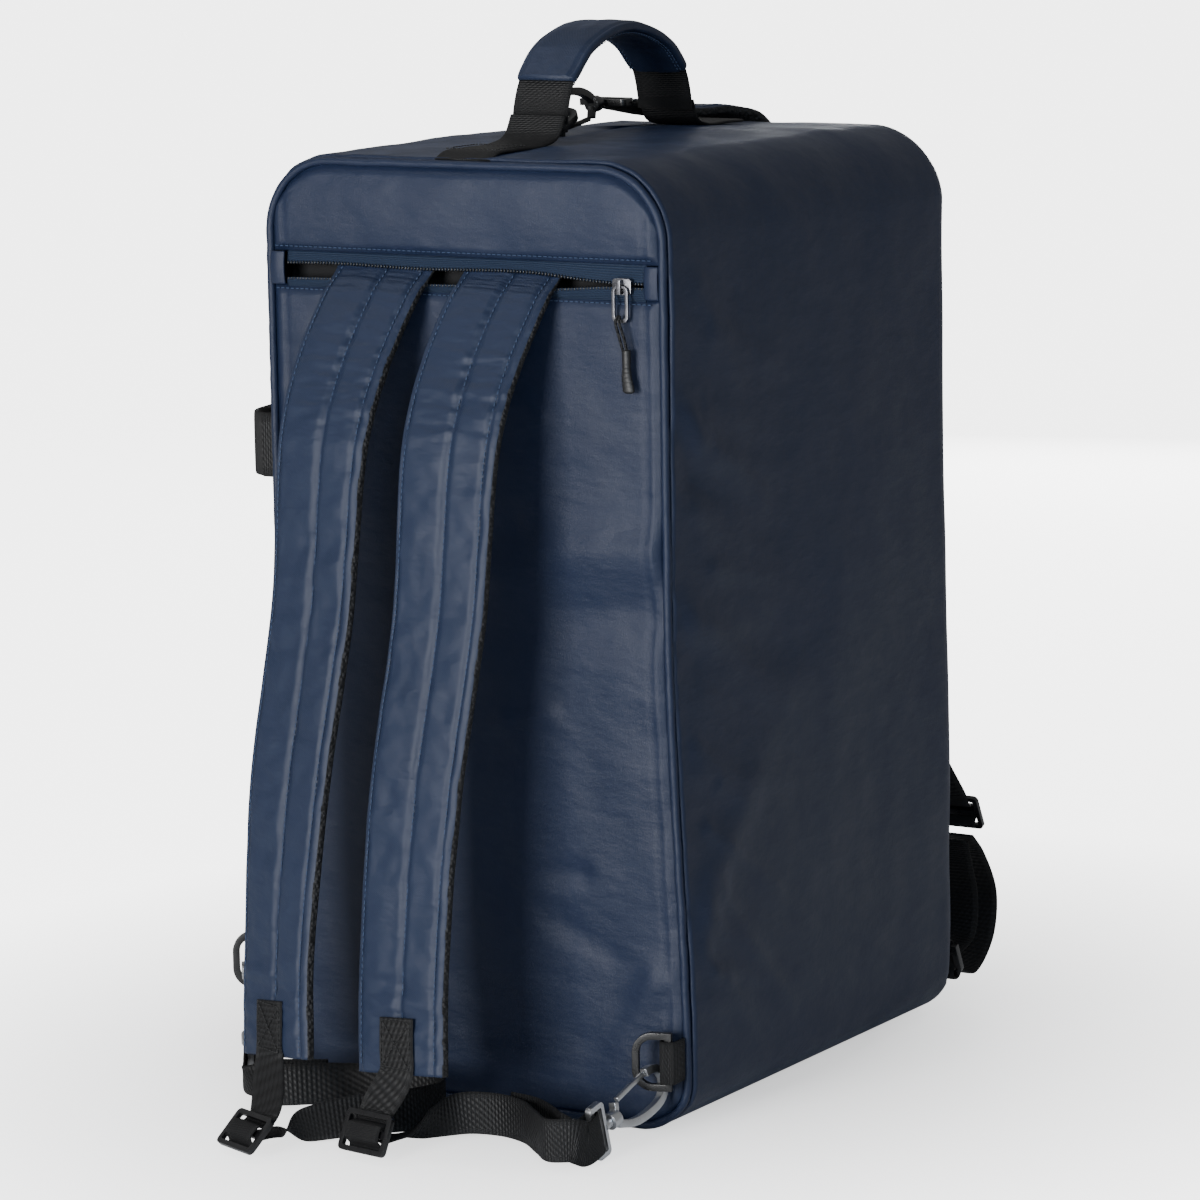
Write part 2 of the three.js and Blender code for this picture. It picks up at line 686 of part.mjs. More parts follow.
function buildMainSlider() {
  const slider = new THREE.Group();
  slider.position.set(lidRight - tapeWidth - gap, frontY, 250);
  group.add(slider);
  const bodyTop = 2.2;
  const body = boxSolid(-4, -0.4, -6, 4, bodyTop, 6);
  const crown = crownSolid().translate([0, bodyTop - 0.4, 0]);
  addMesh('main_slider', toGeometry(body.add(crown)), darkMetal, slider);
  const thick = 1.4;
  const pull = roundedOutline(-3.6, -30, 3.6, thick / 2, 3, 0.6);
  pull.holes.push(roundedOutline(-2, -5, 2, -thick / 2, 0.5, 0.5, THREE.Path));
  const tab = uprightPlate(pull, bodyTop + eyeletDepth + thick / 2, thick, 4);
  addMesh('main_pull', tab, blackRubber, slider);
}

// Shoulder strap: hooked on top, over the front edge, down the right margin, looped low

function buildShoulderStrap() {
  const ringX = -44;
  const topBar = point(ringX, -12, bodyHeight + 7.2);
  const toward = point(0, 0.93, 0.37).normalize();
  buildRing('top', topBar, axisX, axisZ, toward, 6.7);
  const heldAt = topBar.clone().addScaledVector(toward, ringReach);
  const eye = buildHeldHook('top', heldAt, point(0, -0.998, -0.05), point(1, 0, 0.1), axisX, blackPlastic);

  const padStart = eye.eyeAt.y + 9;
  const pad = [
    station(ringX, padStart, eye.eyeAt.z - 1, axisX, 0.5),
    station(ringX, padStart + 22, eye.eyeAt.z - 4, axisX),
    station(ringX + 3, 126, bodyHeight + 7, axisX),
    station(-33, 158, bodyHeight + 5, axisX),
    station(-23, 178, bodyHeight - 7, point(0.98, 0, 0.2)),
    station(-10, 181, bodyHeight - 26, point(0.8, 0, 0.6)),
    station(18, 179.5, bodyHeight - 48, point(0.6, 0, 0.8)),
    station(50, 179.5, bodyHeight - 73, point(0.64, 0, 0.77)),
    station(75, 180, bodyHeight - 102, point(0.82, 0, 0.57)),
    station(88, 180, 410, point(0.97, 0, 0.2)),
    station(strapHighX, 180, 370, axisX),
    station(strapHighX, 180, 320, axisX, 0.6),
  ];
  addMesh('shoulder_pad', bandAlong(pad, padWidth, 7, 44), navyPad);

  const buckleAt = point(strapLowX, 207, 116);
  const up = point(0, -0.45, 0.89).normalize();
  const out = new THREE.Vector3().crossVectors(axisX, up).negate();
  const holder = new THREE.Group();
  holder.position.copy(buckleAt);
  holder.quaternion.setFromRotationMatrix(new THREE.Matrix4().makeBasis(axisX.clone().negate(), up, out));
  group.add(holder);
  addMesh('slide_buckle_front', buckleGeometry(), blackPlastic, holder);

  const upper = [
    station(strapHighX, 180, 319, axisX),
    station(strapHighX + 2, 178, 260, axisX),
    station(strapHighX + 8, 178, 200, axisX),
    station(strapHighX + 17, 184, 158, axisX),
  ];
  for (const [height, depth] of [[15, -3.6], ...weave]) {
    const at = buckleAt.clone().addScaledVector(up, height).addScaledVector(out, depth);
    upper.push({ at, across: axisX, share: 1 });
  }
  addMesh('shoulder_web_upper', bandAlong(upper, webWidth, webThick, 52), blackWeb);

  const lowBar = point(strapLowX - 3, 180.5, 34);
  const down = point(0, 0.42, -0.91).normalize();
  buildRing('front', lowBar, axisX, axisY, down, 7.2, 6);
  const hold = lowBar.clone().addScaledVector(down, ringReach);
  const face = new THREE.Vector3().crossVectors(axisX, down);
  const turn = [[5.5, 4], [1.2, 5], [-3.2, 3.4], [-4.7, 0.2], [-3, -3.8], [0.6, -5.2], [5.5, -7.5]];
  const around = turn.map(([off, far]) => {
    const at = hold.clone().addScaledVector(face, off).addScaledVector(down, far);
    return { at, across: axisX, share: 1 };
  });
  const lower = [
    station(strapLowX, 206, 101, axisX),
    station(strapLowX, 221, 87, axisX),
    station(strapLowX, 238, 58, axisX),
    station(strapLowX, 233, 30, axisX),
    station(strapLowX - 1, 211, 12, axisX),
    ...around,
    station(strapLowX - 1, 209, 36, axisX),
    station(strapLowX, 212, 60, axisX),
    station(strapLowX, 204, 84, axisX),
    station(strapLowX, 198.5, 99, axisX),
  ];
  addMesh('shoulder_web_lower', bandAlong(lower, webWidth, webThick, 60), blackWeb);
}

group.name = 'flight_bag';
buildShell();
buildBack();
buildStashZip();
buildStashSlider();
buildStrapPad('strap_pad_left', -1);
buildStrapPad('strap_pad_right', 1);
buildRightStrapEnd();
buildLeftStrapEnd();
buildTopHandle();
buildSideHandle();
buildLid();
buildMainSlider();
buildShoulderStrap();

export default group;
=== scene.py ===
# Soft convertible flight bag on a pale studio floor.
import json
import math
import random

import bmesh
import bpy
from mathutils import Matrix, Vector, noise


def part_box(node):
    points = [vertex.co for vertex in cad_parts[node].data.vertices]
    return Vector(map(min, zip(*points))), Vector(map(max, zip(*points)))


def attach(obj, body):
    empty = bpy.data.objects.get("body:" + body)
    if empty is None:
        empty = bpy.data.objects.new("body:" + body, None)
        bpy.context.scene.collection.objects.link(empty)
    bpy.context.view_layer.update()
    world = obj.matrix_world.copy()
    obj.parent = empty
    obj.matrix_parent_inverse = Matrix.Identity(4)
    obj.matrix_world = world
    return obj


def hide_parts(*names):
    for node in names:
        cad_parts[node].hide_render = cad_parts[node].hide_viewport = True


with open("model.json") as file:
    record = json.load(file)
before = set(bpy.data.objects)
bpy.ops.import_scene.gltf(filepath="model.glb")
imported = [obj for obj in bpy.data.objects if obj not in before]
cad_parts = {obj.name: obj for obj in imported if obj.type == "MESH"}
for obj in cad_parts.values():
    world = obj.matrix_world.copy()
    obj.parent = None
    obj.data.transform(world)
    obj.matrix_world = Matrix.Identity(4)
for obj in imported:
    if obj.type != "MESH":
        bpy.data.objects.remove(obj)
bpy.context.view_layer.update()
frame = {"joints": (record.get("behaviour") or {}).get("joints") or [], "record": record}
joints = {joint["name"]: joint for joint in frame["joints"]}
scene = bpy.context.scene

unitX = Vector((1, 0, 0))
unitY = Vector((0, 1, 0))
unitZ = Vector((0, 0, 1))
halfWidth = 0.135
backY = -0.173
frontY = 0.173
bagTop = 0.552
webWidth = 0.025
webThick = 0.0016


# Camera, lights and floor

studio = {
    "target": (-0.017502, 0, 0.271975),
    "azimuth": 31.609,
    "elevation": 9.403,
    "roll": -0.941,
    "distance": 3.029,
    "lens": 150,
}


def makeCamera():
    azimuth = math.radians(studio["azimuth"])
    elevation = math.radians(studio["elevation"])
    roll = math.radians(studio["roll"])
    back = Vector((math.sin(azimuth) * math.cos(elevation),
                   -math.cos(azimuth) * math.cos(elevation), math.sin(elevation)))
    right = Vector((math.cos(azimuth), math.sin(azimuth), 0))
    up = back.cross(right)
    turnedRight = right * math.cos(roll) + up * math.sin(roll)
    turnedUp = up * math.cos(roll) - right * math.sin(roll)
    data = bpy.data.cameras.new("camera")
    data.lens = studio["lens"]
    data.sensor_width = 36
    data.clip_end = 50
    camera = bpy.data.objects.new("camera", data)
    scene.collection.objects.link(camera)
    axes = Matrix((turnedRight, turnedUp, back)).transposed().to_4x4()
    place = Vector(studio["target"]) + back * studio["distance"]
    camera.matrix_world = Matrix.Translation(place) @ axes
    scene.camera = camera


def areaLight(name, place, aim, size, power, colour):
    data = bpy.data.lights.new(name, "AREA")
    data.shape = "RECTANGLE"
    data.size, data.size_y = size
    data.energy = power
    data.color = colour
    light = bpy.data.objects.new(name, data)
    scene.collection.objects.link(light)
    light.location = place
    light.rotation_euler = (Vector(aim) - Vector(place)).to_track_quat("-Z", "Y").to_euler()


makeCamera()
print("camera placed")


# Shader helpers

class Wire:
    def __init__(self, tree, socket=None):
        self.tree = tree
        self.socket = socket

    def make(self, kind, settings=None, inputs=None, output=0):
        node = self.tree.nodes.new("ShaderNode" + kind)
        for key, value in (settings or {}).items():
            setattr(node, key, value)
        for key, value in (inputs or {}).items():
            self.feed(node.inputs[key], value)
        return Wire(self.tree, node.outputs[output])

    def feed(self, socket, value):
        if isinstance(value, Wire):
            self.tree.links.new(value.socket, socket)
        else:
            socket.default_value = value

    def maths(self, operation, *values):
        inputs = dict(enumerate(values))
        return self.make("Math", {"operation": operation}, inputs)

    def __add__(self, other):
        return self.maths("ADD", self, other)

    def __radd__(self, other):
        return self.maths("ADD", other, self)

    def __sub__(self, other):
        return self.maths("SUBTRACT", self, other)

    def __rsub__(self, other):
        return self.maths("SUBTRACT", other, self)

    def __mul__(self, other):
        return self.maths("MULTIPLY", self, other)

    def __rmul__(self, other):
        return self.maths("MULTIPLY", other, self)

    def __truediv__(self, other):
        return self.maths("DIVIDE", self, other)

    def sine(self):
        return self.maths("SINE", self)

    def clamped(self, low, high):
        return self.maths("MINIMUM", self.maths("MAXIMUM", self, low), high)

    def noise(self, scale, detail=2.0, stretch=(1, 1, 1)):
        place = self.make("Mapping", {}, {"Vector": self, "Scale": stretch})
        return self.make("TexNoise", {}, {"Vector": place, "Scale": scale, "Detail": detail})

    def parts(self):
        node = self.make("SeparateXYZ", {}, {0: self}).socket.node
        return [Wire(self.tree, socket) for socket in node.outputs]


def shader(name, build, **fixed):
    material = bpy.data.materials.new(name)
    material.use_nodes = True
    tree = material.node_tree
    surface = tree.nodes["Principled BSDF"]
    for key, value in fixed.items():
        surface.inputs[key.replace("_", " ")].default_value = value
    start = Wire(tree)
    coords = start.make("TexCoord", {}, {}, 3)
    for key, value in build(start, coords).items():
        start.feed(surface.inputs[key], value)
    return material


def blended(start, share, first, second):
    mix = start.make("Mix", {"data_type": "RGBA"}, {"Factor": share}, 2)
    node = mix.socket.node
    node.inputs[6].default_value = (*first, 1)
    node.inputs[7].default_value = (*second, 1)
    return mix


def bumped(start, height, strength, distance):
    inputs = {"Strength": strength, "Distance": distance, "Height": height}
    return start.make("Bump", {}, inputs)


def clothMaterial(name, dark, light, pitch, crease, rough):
    turn = 2 * math.pi / pitch

    def build(start, coords):
        x, y, z = coords.parts()
        weave = ((x + y) * turn).sine() * (z * turn).sine()
        slub = coords.noise(2600, 1, (1, 1, 0.15))
        cloud = coords.noise(9, 3)
        folds = coords.noise(26, 4, (1, 1, 2.2))
        worn = coords.noise(60, 5)
        share = (cloud * 0.55 + weave * 0.06 + slub * 0.3 + worn * 0.15).clamped(0, 1)
        height = folds * crease + weave * 0.02 + slub * 0.05 + worn * 0.08
        return {
            "Base Color": blended(start, share, dark, light),
            "Roughness": (rough + (worn - 0.5) * 0.16 + (cloud - 0.5) * 0.1).clamped(0.2, 0.9),
            "Normal": bumped(start, height, 0.5, 0.004),
        }

    return shader(name, build, Sheen_Weight=0.04, Sheen_Roughness=0.3,
                  Sheen_Tint=(0.3, 0.45, 0.9, 1), Specular_IOR_Level=0.3)


def webMaterial(name, dark, light, rib, rough):
    def build(start, coords):
        place = start.make("UVMap", {"uv_map": "UVMap"})
        across, along, unused = place.parts()
        ribs = (along * (2 * math.pi / rib)).sine()
        yarn = (across * (2 * math.pi / (rib * 0.8)) + along * (math.pi / rib)).sine()
        fuzz = coords.noise(1800, 2)
        share = (ribs * 0.22 + yarn * 0.18 + fuzz * 0.5 + 0.1).clamped(0, 1)
        return {
            "Base Color": blended(start, share, dark, light),
            "Roughness": (rough + (fuzz - 0.5) * 0.25).clamped(0.25, 0.95),
            "Normal": bumped(start, ribs * 0.5 + yarn * 0.35 + fuzz * 0.3, 0.55, 0.0006),
        }

    return shader(name, build, Specular_IOR_Level=0.3)


def meshMaterial(name, dark, light, cell):
    def build(start, coords):
        inputs = {"Vector": coords, "Scale": 1 / cell}
        cells = start.make("TexVoronoi", {"feature": "F1"}, inputs)
        grain = coords.noise(900, 2)
        share = (1.1 - cells * 1.5).clamped(0, 1)
        return {
            "Base Color": blended(start, share, dark, light),
            "Roughness": (0.75 + (grain - 0.5) * 0.2).clamped(0.4, 0.95),
            "Normal": bumped(start, share + grain * 0.3, 0.9, 0.0012),
        }

    return shader(name, build)


def plasticMaterial(name, dark, light, rough, metallic=0.0, coat=0.0):
    def build(start, coords):
        grain = coords.noise(1500, 3)
        wear = coords.noise(140, 5)
        share = (wear * 0.9 + grain * 0.2 - 0.1).clamped(0, 1)
        return {
            "Base Color": blended(start, share, dark, light),
            "Roughness": (rough + (wear - 0.5) * 0.22 + (grain - 0.5) * 0.1).clamped(0.08, 0.9),
            "Normal": bumped(start, grain + wear, 0.12, 0.0006),
        }

    return shader(name, build, Metallic=metallic, Coat_Weight=coat, Coat_Roughness=0.15)


navy = clothMaterial("navyNylon", (0.0052, 0.0102, 0.0275), (0.011, 0.0187, 0.0455), 0.0009, 0.8, 0.44)
navyPadding = clothMaterial("navyPadCloth", (0.0074, 0.013, 0.031), (0.0148, 0.024, 0.053), 0.0011, 1.3, 0.47)
lining = clothMaterial("darkLining", (0.0015, 0.0016, 0.002), (0.006, 0.006, 0.0075), 0.0012, 0.3, 0.7)
webbing = webMaterial("blackWebbing", (0.0015, 0.0015, 0.0017), (0.010, 0.010, 0.011), 0.0016, 0.55)
zipTape = webMaterial("zipTape", (0.003, 0.009, 0.024), (0.01, 0.024, 0.055), 0.0011, 0.6)
spacerMesh = meshMaterial("spacerMesh", (0.001, 0.001, 0.0012), (0.012, 0.012, 0.014), 0.0024)
blackPlastic = plasticMaterial("blackPlastic", (0.003, 0.003, 0.0035), (0.008, 0.008, 0.009), 0.3, 0.0, 0.15)
satinZinc = plasticMaterial("satinZinc", (0.5, 0.51, 0.53), (0.72, 0.73, 0.74), 0.32, 1.0)
darkMetal = plasticMaterial("sliderMetal", (0.1, 0.1, 0.11), (0.24, 0.24, 0.26), 0.3, 1.0)
softRubber = plasticMaterial("softRubber", (0.003, 0.003, 0.0035), (0.009, 0.009, 0.01), 0.5)
thread = plasticMaterial("blueThread", (0.014, 0.03, 0.068), (0.034, 0.062, 0.13), 0.6)
blackThread = plasticMaterial("blackThread", (0.003, 0.003, 0.003), (0.012, 0.012, 0.013), 0.6)
print("materials made")


# Mesh helpers

def mm(x, y, z):
    return Vector((x, y, z)) / 1000


def curvePoint(points, share):
    count = len(points)
    place = min(max(share, 0.0), 1.0) * (count - 1)
    index = min(int(place), count - 2)
    weight = place - index
    b, c = points[index], points[index + 1]
    a = points[index - 1] if index else 2 * points[0] - points[1]
    d = points[index + 2] if index + 2 < count else 2 * points[-1] - points[-2]
    gaps = [math.sqrt((q - p).length * 1000) for p, q in ((a, b), (b, c), (c, d))]
    middle = gaps[1] if gaps[1] > 1e-4 else 1.0
    before = gaps[0] if gaps[0] > 1e-4 else middle
    after = gaps[2] if gaps[2] > 1e-4 else middle
    leave = ((b - a) / before - (c - a) / (before + middle) + (c - b) / middle) * middle
    arrive = ((c - b) / middle - (d - b) / (middle + after) + (d - c) / after) * middle
    square = weight * weight
    bend = -3 * b + 3 * c - 2 * leave - arrive
    return b + leave * weight + bend * square + (2 * b - 2 * c + leave + arrive) * square * weight


def curveFrame(route, share):
    places, acrosses, swells = route
    at = curvePoint(places, share)
    step = 0.0005
    tangent = (curvePoint(places, share + step) - curvePoint(places, share - step)).normalized()
    across = curvePoint(acrosses, share)
    across = (across - tangent * across.dot(tangent)).normalized()
    normal = across.cross(tangent)
    return at, tangent, across, normal, curvePoint(swells, share).x


def makeRoute(stations):
    places = [Vector(entry[0]) for entry in stations]
    acrosses = [Vector(entry[1]).normalized() for entry in stations]
    swells = [Vector((entry[2] if len(entry) > 2 else 1, 0, 0)) for entry in stations]
    return places, acrosses, swells


def routeLength(route, steps=200):
    samples = [curvePoint(route[0], i / steps) for i in range(steps + 1)]
    return sum((b - a).length for a, b in zip(samples, samples[1:]))


def finishMesh(name, bm, materials, body):
    bmesh.ops.recalc_face_normals(bm, faces=bm.faces)
    mesh = bpy.data.meshes.new(name)
    bm.to_mesh(mesh)
    bm.free()
    for material in materials:
        mesh.materials.append(material)
    mesh.polygons.foreach_set("use_smooth", [True] * len(mesh.polygons))
    piece = bpy.data.objects.new(name, mesh)
    scene.collection.objects.link(piece)
    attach(piece, body)
    return piece


def gridMesh(columns, rows, place, scale=(1, 1)):
    bm = bmesh.new()
    bm.loops.layers.uv.new("UVMap")
    bmesh.ops.create_grid(bm, x_segments=columns, y_segments=rows, size=0.5, calc_uvs=True)
    layer = bm.loops.layers.uv.active
    for face in bm.faces:
        for loop in face.loops:
            corner = loop.vert.co
            loop[layer].uv = ((corner.x + 0.5) * scale[0], (corner.y + 0.5) * scale[1])
    for vert in bm.verts:
        vert.co = place(vert.co.x + 0.5, vert.co.y + 0.5)
    return bm


def closeTube(bm):
    bmesh.ops.remove_doubles(bm, verts=bm.verts, dist=1e-6)
    rim = [edge for edge in bm.edges if edge.is_boundary]
    bmesh.ops.holes_fill(bm, edges=rim, sides=0)


def bandMesh(route, width, thick, along, around=16, outline=None):
    outline = outline or flatOutline
    length = routeLength(route)

    def place(u, v):
        at, tangent, across, normal, swell = curveFrame(route, v)
        side, lift = outline(u)
        return at + across * (side * width / 2) + normal * (lift * thick / 2 * swell)

    bm = gridMesh(around, along, place, (2 * width, length))
    closeTube(bm)
    return bm


def flatOutline(u):
    # Rounded flat loop: side runs -1 to 1 along the face, lift is +1 or -1 across it.
    angle = 2 * math.pi * u
    x, y = math.cos(angle), math.sin(angle)
    side = math.copysign(abs(x) ** 0.35, x)
    lift = math.copysign(abs(y) ** 0.45, y)
    return side, lift


def band(name, stations, width, thick, along, body="bag", nodes=()):
    bm = bandMesh(makeRoute(stations), width, thick, along)
    piece = finishMesh(name, bm, [webbing], body)
    if nodes:
        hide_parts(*nodes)
    return piece


def softened(node, width, segments, material):
    # A CAD node's own shape with its sharp edges rounded over.
    bm = bmesh.new()
    bm.from_mesh(bpy.data.objects[node].data)
    bmesh.ops.remove_doubles(bm, verts=bm.verts, dist=1e-6)
    bmesh.ops.dissolve_limit(bm, angle_limit=math.radians(1), verts=bm.verts, edges=bm.edges)
    sharp = [edge for edge in bm.edges if len(edge.link_faces) == 2
             and edge.calc_face_angle() > math.radians(38)]
    bmesh.ops.bevel(bm, geom=sharp, offset=width, segments=segments, profile=0.5,
                    affect="EDGES", clamp_overlap=True, material=-1)
    bmesh.ops.triangulate(bm, faces=[face for face in bm.faces if len(face.verts) > 4])
    piece = finishMesh(node + "_form", bm, [material], bodyOf[node])
    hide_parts(node)
    return piece


bodyOf = {node: body for body, nodes in frame["record"]["behaviour"]["bodies"].items() for node in nodes}


def stitches(name, points, body, pitch=0.0036, share=0.68, radius=0.00032, slotName="webbing"):
    # Separate thread dashes lying along a line of points.
    bm = bmesh.new()
    lengths = [0.0]
    for a, b in zip(points, points[1:]):
        lengths.append(lengths[-1] + (b - a).length)

    def at(distance):
        for index in range(1, len(points)):
            if distance <= lengths[index] or index == len(points) - 1:
                gap = lengths[index] - lengths[index - 1]
                local = (distance - lengths[index - 1]) / gap if gap else 0
                return points[index - 1].lerp(points[index], local)
        return points[-1]

    count = max(1, int(lengths[-1] / pitch))
    for index in range(count):
        start = at(index * pitch)
        end = at(index * pitch + pitch * share)
        way = end - start
        if way.length < 1e-5:
            continue
        turn = way.to_track_quat("Z", "Y").to_matrix().to_4x4()
        place = Matrix.Translation((start + end) / 2) @ turn
        bmesh.ops.create_cone(bm, cap_ends=True, segments=6, radius1=radius, radius2=radius,
                              depth=way.length, matrix=place)
    return finishMesh(name, bm, [blackThread if slotName == "webbing" else thread], body)


# Cord of the stash pull, made first

pullCord = {
    "radius": 0.00085,
    "spread": 0.0011,
    "bar": (0.108, -0.1786, 0.465),
    "foot": (0.1128, -0.1796, 0.4455),
}


def roundOutline(u):
    angle = 2 * math.pi * u
    return math.cos(angle), math.sin(angle)


def makePullCord():
    bar = Vector(pullCord["bar"])
    foot = Vector(pullCord["foot"])
    spread = unitX * pullCord["spread"]
    front = -unitY * 0.0022
    stations = [
        foot - spread,
        foot.lerp(bar, 0.5) - spread * 1.3 + front * 0.4,
        bar - spread + front + unitZ * 0.0002,
        bar - spread * 0.5 + unitZ * 0.0026 + front * 0.2,
        bar + spread * 0.5 + unitZ * 0.0026 + front * 0.2,
        bar + spread + front + unitZ * 0.0002,
        foot.lerp(bar, 0.5) + spread * 1.3 + front * 0.4,
        foot + spread,
    ]
    steps = 36
    path = [curvePoint(stations, i / steps) for i in range(steps + 1)]
    route = (path, [unitY] * len(path), [unitX] * len(path))
    width = 2 * pullCord["radius"]
    bm = bandMesh(route, width, width, 72, 10, roundOutline)
    cord = finishMesh("pull_cord_line", bm, [webbing], "cord_pull")
    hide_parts("pull_cord")
    length = sum((b - a).length for a, b in zip(path, path[1:]))
    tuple(path[0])
    print("cord length", round(length, 4))


makePullCord()
print("cord made")


# Body shell

shell = {
    "low": 0.0,
    "high": bagTop,
    "round": 0.024,
    "topRound": 0.044,
    "edge": 0.0185,
    "dome": 0.0035,
    "sideBulge": 0.0012,
    "slump": 0.0035,
    "footBulge": 0.009,
    "opening": (-0.112, 0.056, 0.062, 0.43, 0.03),
    "around": 420,
    "folds": 26,
}
# Straight and corner lengths of the outline, from the middle of the base.
outlineSpans = (0.111, 0.038, 0.484, 0.069, 0.182, 0.069, 0.484, 0.038, 0.111)


def outlinePoint(u, left, low, right, high, lowRadius, highRadius):
    total = sum(outlineSpans)
    rest = (u % 1.0) * total
    index = 0
    while rest > outlineSpans[index] and index < len(outlineSpans) - 1:
        rest -= outlineSpans[index]
        index += 1
    share = rest / outlineSpans[index]
    middle = (left + right) / 2
    corners = {
        1: (right - lowRadius, low + lowRadius, lowRadius, -90),
        3: (right - highRadius, high - highRadius, highRadius, 0),
        5: (left + highRadius, high - highRadius, highRadius, 90),
        7: (left + lowRadius, low + lowRadius, lowRadius, 180),
    }
    if index in corners:
        x, z, radius, begin = corners[index]
        angle = math.radians(begin + 90 * share)
        way = (math.cos(angle), math.sin(angle))
        return x + radius * way[0], z + radius * way[1], *way
    runs = {
        0: (middle, low, right - lowRadius, low, 0, -1),
        2: (right, low + lowRadius, right, high - highRadius, 1, 0),
        4: (right - highRadius, high, left + highRadius, high, 0, 1),
        6: (left, high - highRadius, left, low + lowRadius, -1, 0),
        8: (left + lowRadius, low, middle, low, 0, -1),
    }
    x0, z0, x1, z1, nx, nz = runs[index]
    return x0 + (x1 - x0) * share, z0 + (z1 - z0) * share, nx, nz


def bodyOutline(u, inset):
    low = shell["low"] + inset
    high = shell["high"] - inset
    side = halfWidth - inset
    foot = shell["round"] - inset * 0.99
    return outlinePoint(u, -side, low, side, high, foot, shell["topRound"] - inset * 0.9)


def makeFolds():
    rng = random.Random(21)
    folds = []
    for index in range(shell["folds"]):
        start = Vector((backY + rng.uniform(0.0, 0.05), rng.uniform(0.06, 0.5)))
        angle = math.radians(rng.uniform(-50, -8))
        reach = rng.uniform(0.04, 0.13)
        end = start + Vector((math.cos(angle), math.sin(angle))) * reach
        folds.append((start, end, rng.uniform(0.0004, 0.0013), rng.uniform(0.004, 0.011)))
    folds.append((Vector((-0.168, 0.415)), Vector((-0.07, 0.352)), 0.0032, 0.011))
    folds.append((Vector((-0.168, 0.385)), Vector((-0.05, 0.332)), -0.0026, 0.014))
    folds.append((Vector((-0.168, 0.3)), Vector((-0.05, 0.235)), 0.0028, 0.014))
    folds.append((Vector((-0.168, 0.27)), Vector((-0.02, 0.262)), -0.0024, 0.016))
    folds.append((Vector((-0.16, 0.12)), Vector((-0.07, 0.21)), 0.0024, 0.015))
    return folds


sideFolds = makeFolds()


def foldHeight(folds, a, b):
    total = 0.0
    place = Vector((a, b))
    for start, end, height, width in folds:
        line = end - start
        share = (place - start).dot(line) / line.length_squared
        if not -0.3 < share < 1.3:
            continue
        near = start + line * min(max(share, 0), 1)
        away = (place - near).length / width
        if away < 3:
            fade = 1 - min(max(share, 0), 1) * 0.75
            total += height * fade * math.exp(-away * away)
    return total


def smoothstep(low, high, value):
    share = min(max((value - low) / (high - low), 0), 1)
    return share * share * (3 - 2 * share)


def pressed(x, y):
    # Flat patch on the top where the hook and the handle feet lie.
    return smoothstep(0.014, 0.03, abs(x + 0.044)) if -0.04 < y < 0.075 else 1


def skinPoint(u, inset, y):
    x, z, nx, nz = bodyOutline(u, inset)
    run = min(max((y - backY) / (frontY - backY), 0), 1)
    belly = math.sin(math.pi * run) ** 0.8 if 0 < run < 1 else 0
    push = 0.0
    side = abs(nx)
    if side > 0:
        tall = math.sin(math.pi * min(max(z / bagTop, 0), 1)) ** 0.6
        push += side * shell["sideBulge"] * belly * tall
        foot = smoothstep(0.3, 0.03, z) * smoothstep(0.0, 0.03, z)
        push += max(nx, 0) * shell["footBulge"] * foot * (1 - 0.8 * smoothstep(0.1, 1.0, run))
    push -= shell["slump"] * smoothstep(0.3, 1.0, run) * max(nz, 0) * (0.35 + abs(nx))
    if nz > 0:
        wide = math.cos(math.pi * 0.5 * min(abs(x) / halfWidth, 1))
        push += nz * shell["dome"] * belly * wide * pressed(x, y)
    seam = math.exp(-max(y - backY, 0) / 0.016)
    around = u * sum(outlineSpans)
    pucker = noise.noise(Vector((around * 85, y * 18, 3.1))) * 0.0011 * seam
    spot = Vector((x * 7, y * 9, z * 6))
    soft = noise.noise(spot) * 0.0024 + noise.noise(spot * 3.1) * 0.0009
    creases = foldHeight(sideFolds, y, z) * 1.8 if nx > 0.5 else 0
    if nx < -0.5:
        creases = foldHeight(sideFolds, y, 0.56 - z) * 0.8
    creases *= smoothstep(0.003, 0.028, y - backY)
    if nz > 0.5:
        creases = noise.noise(Vector((x * 22, y * 40, 8))) * 0.0005
    quiet = 1.0 if nz > -0.3 else 0.0
    if nz > 0.3:
        quiet *= pressed(x, y)
    if nx < -0.5:
        # Flat under the side handle.
        flat = smoothstep(0.02, 0.05, abs(z - 0.38))
        quiet *= flat
        push *= flat
    push += (soft + creases + pucker) * quiet
    return Vector((x + nx * push, y, max(z + nz * push, 0.0)))


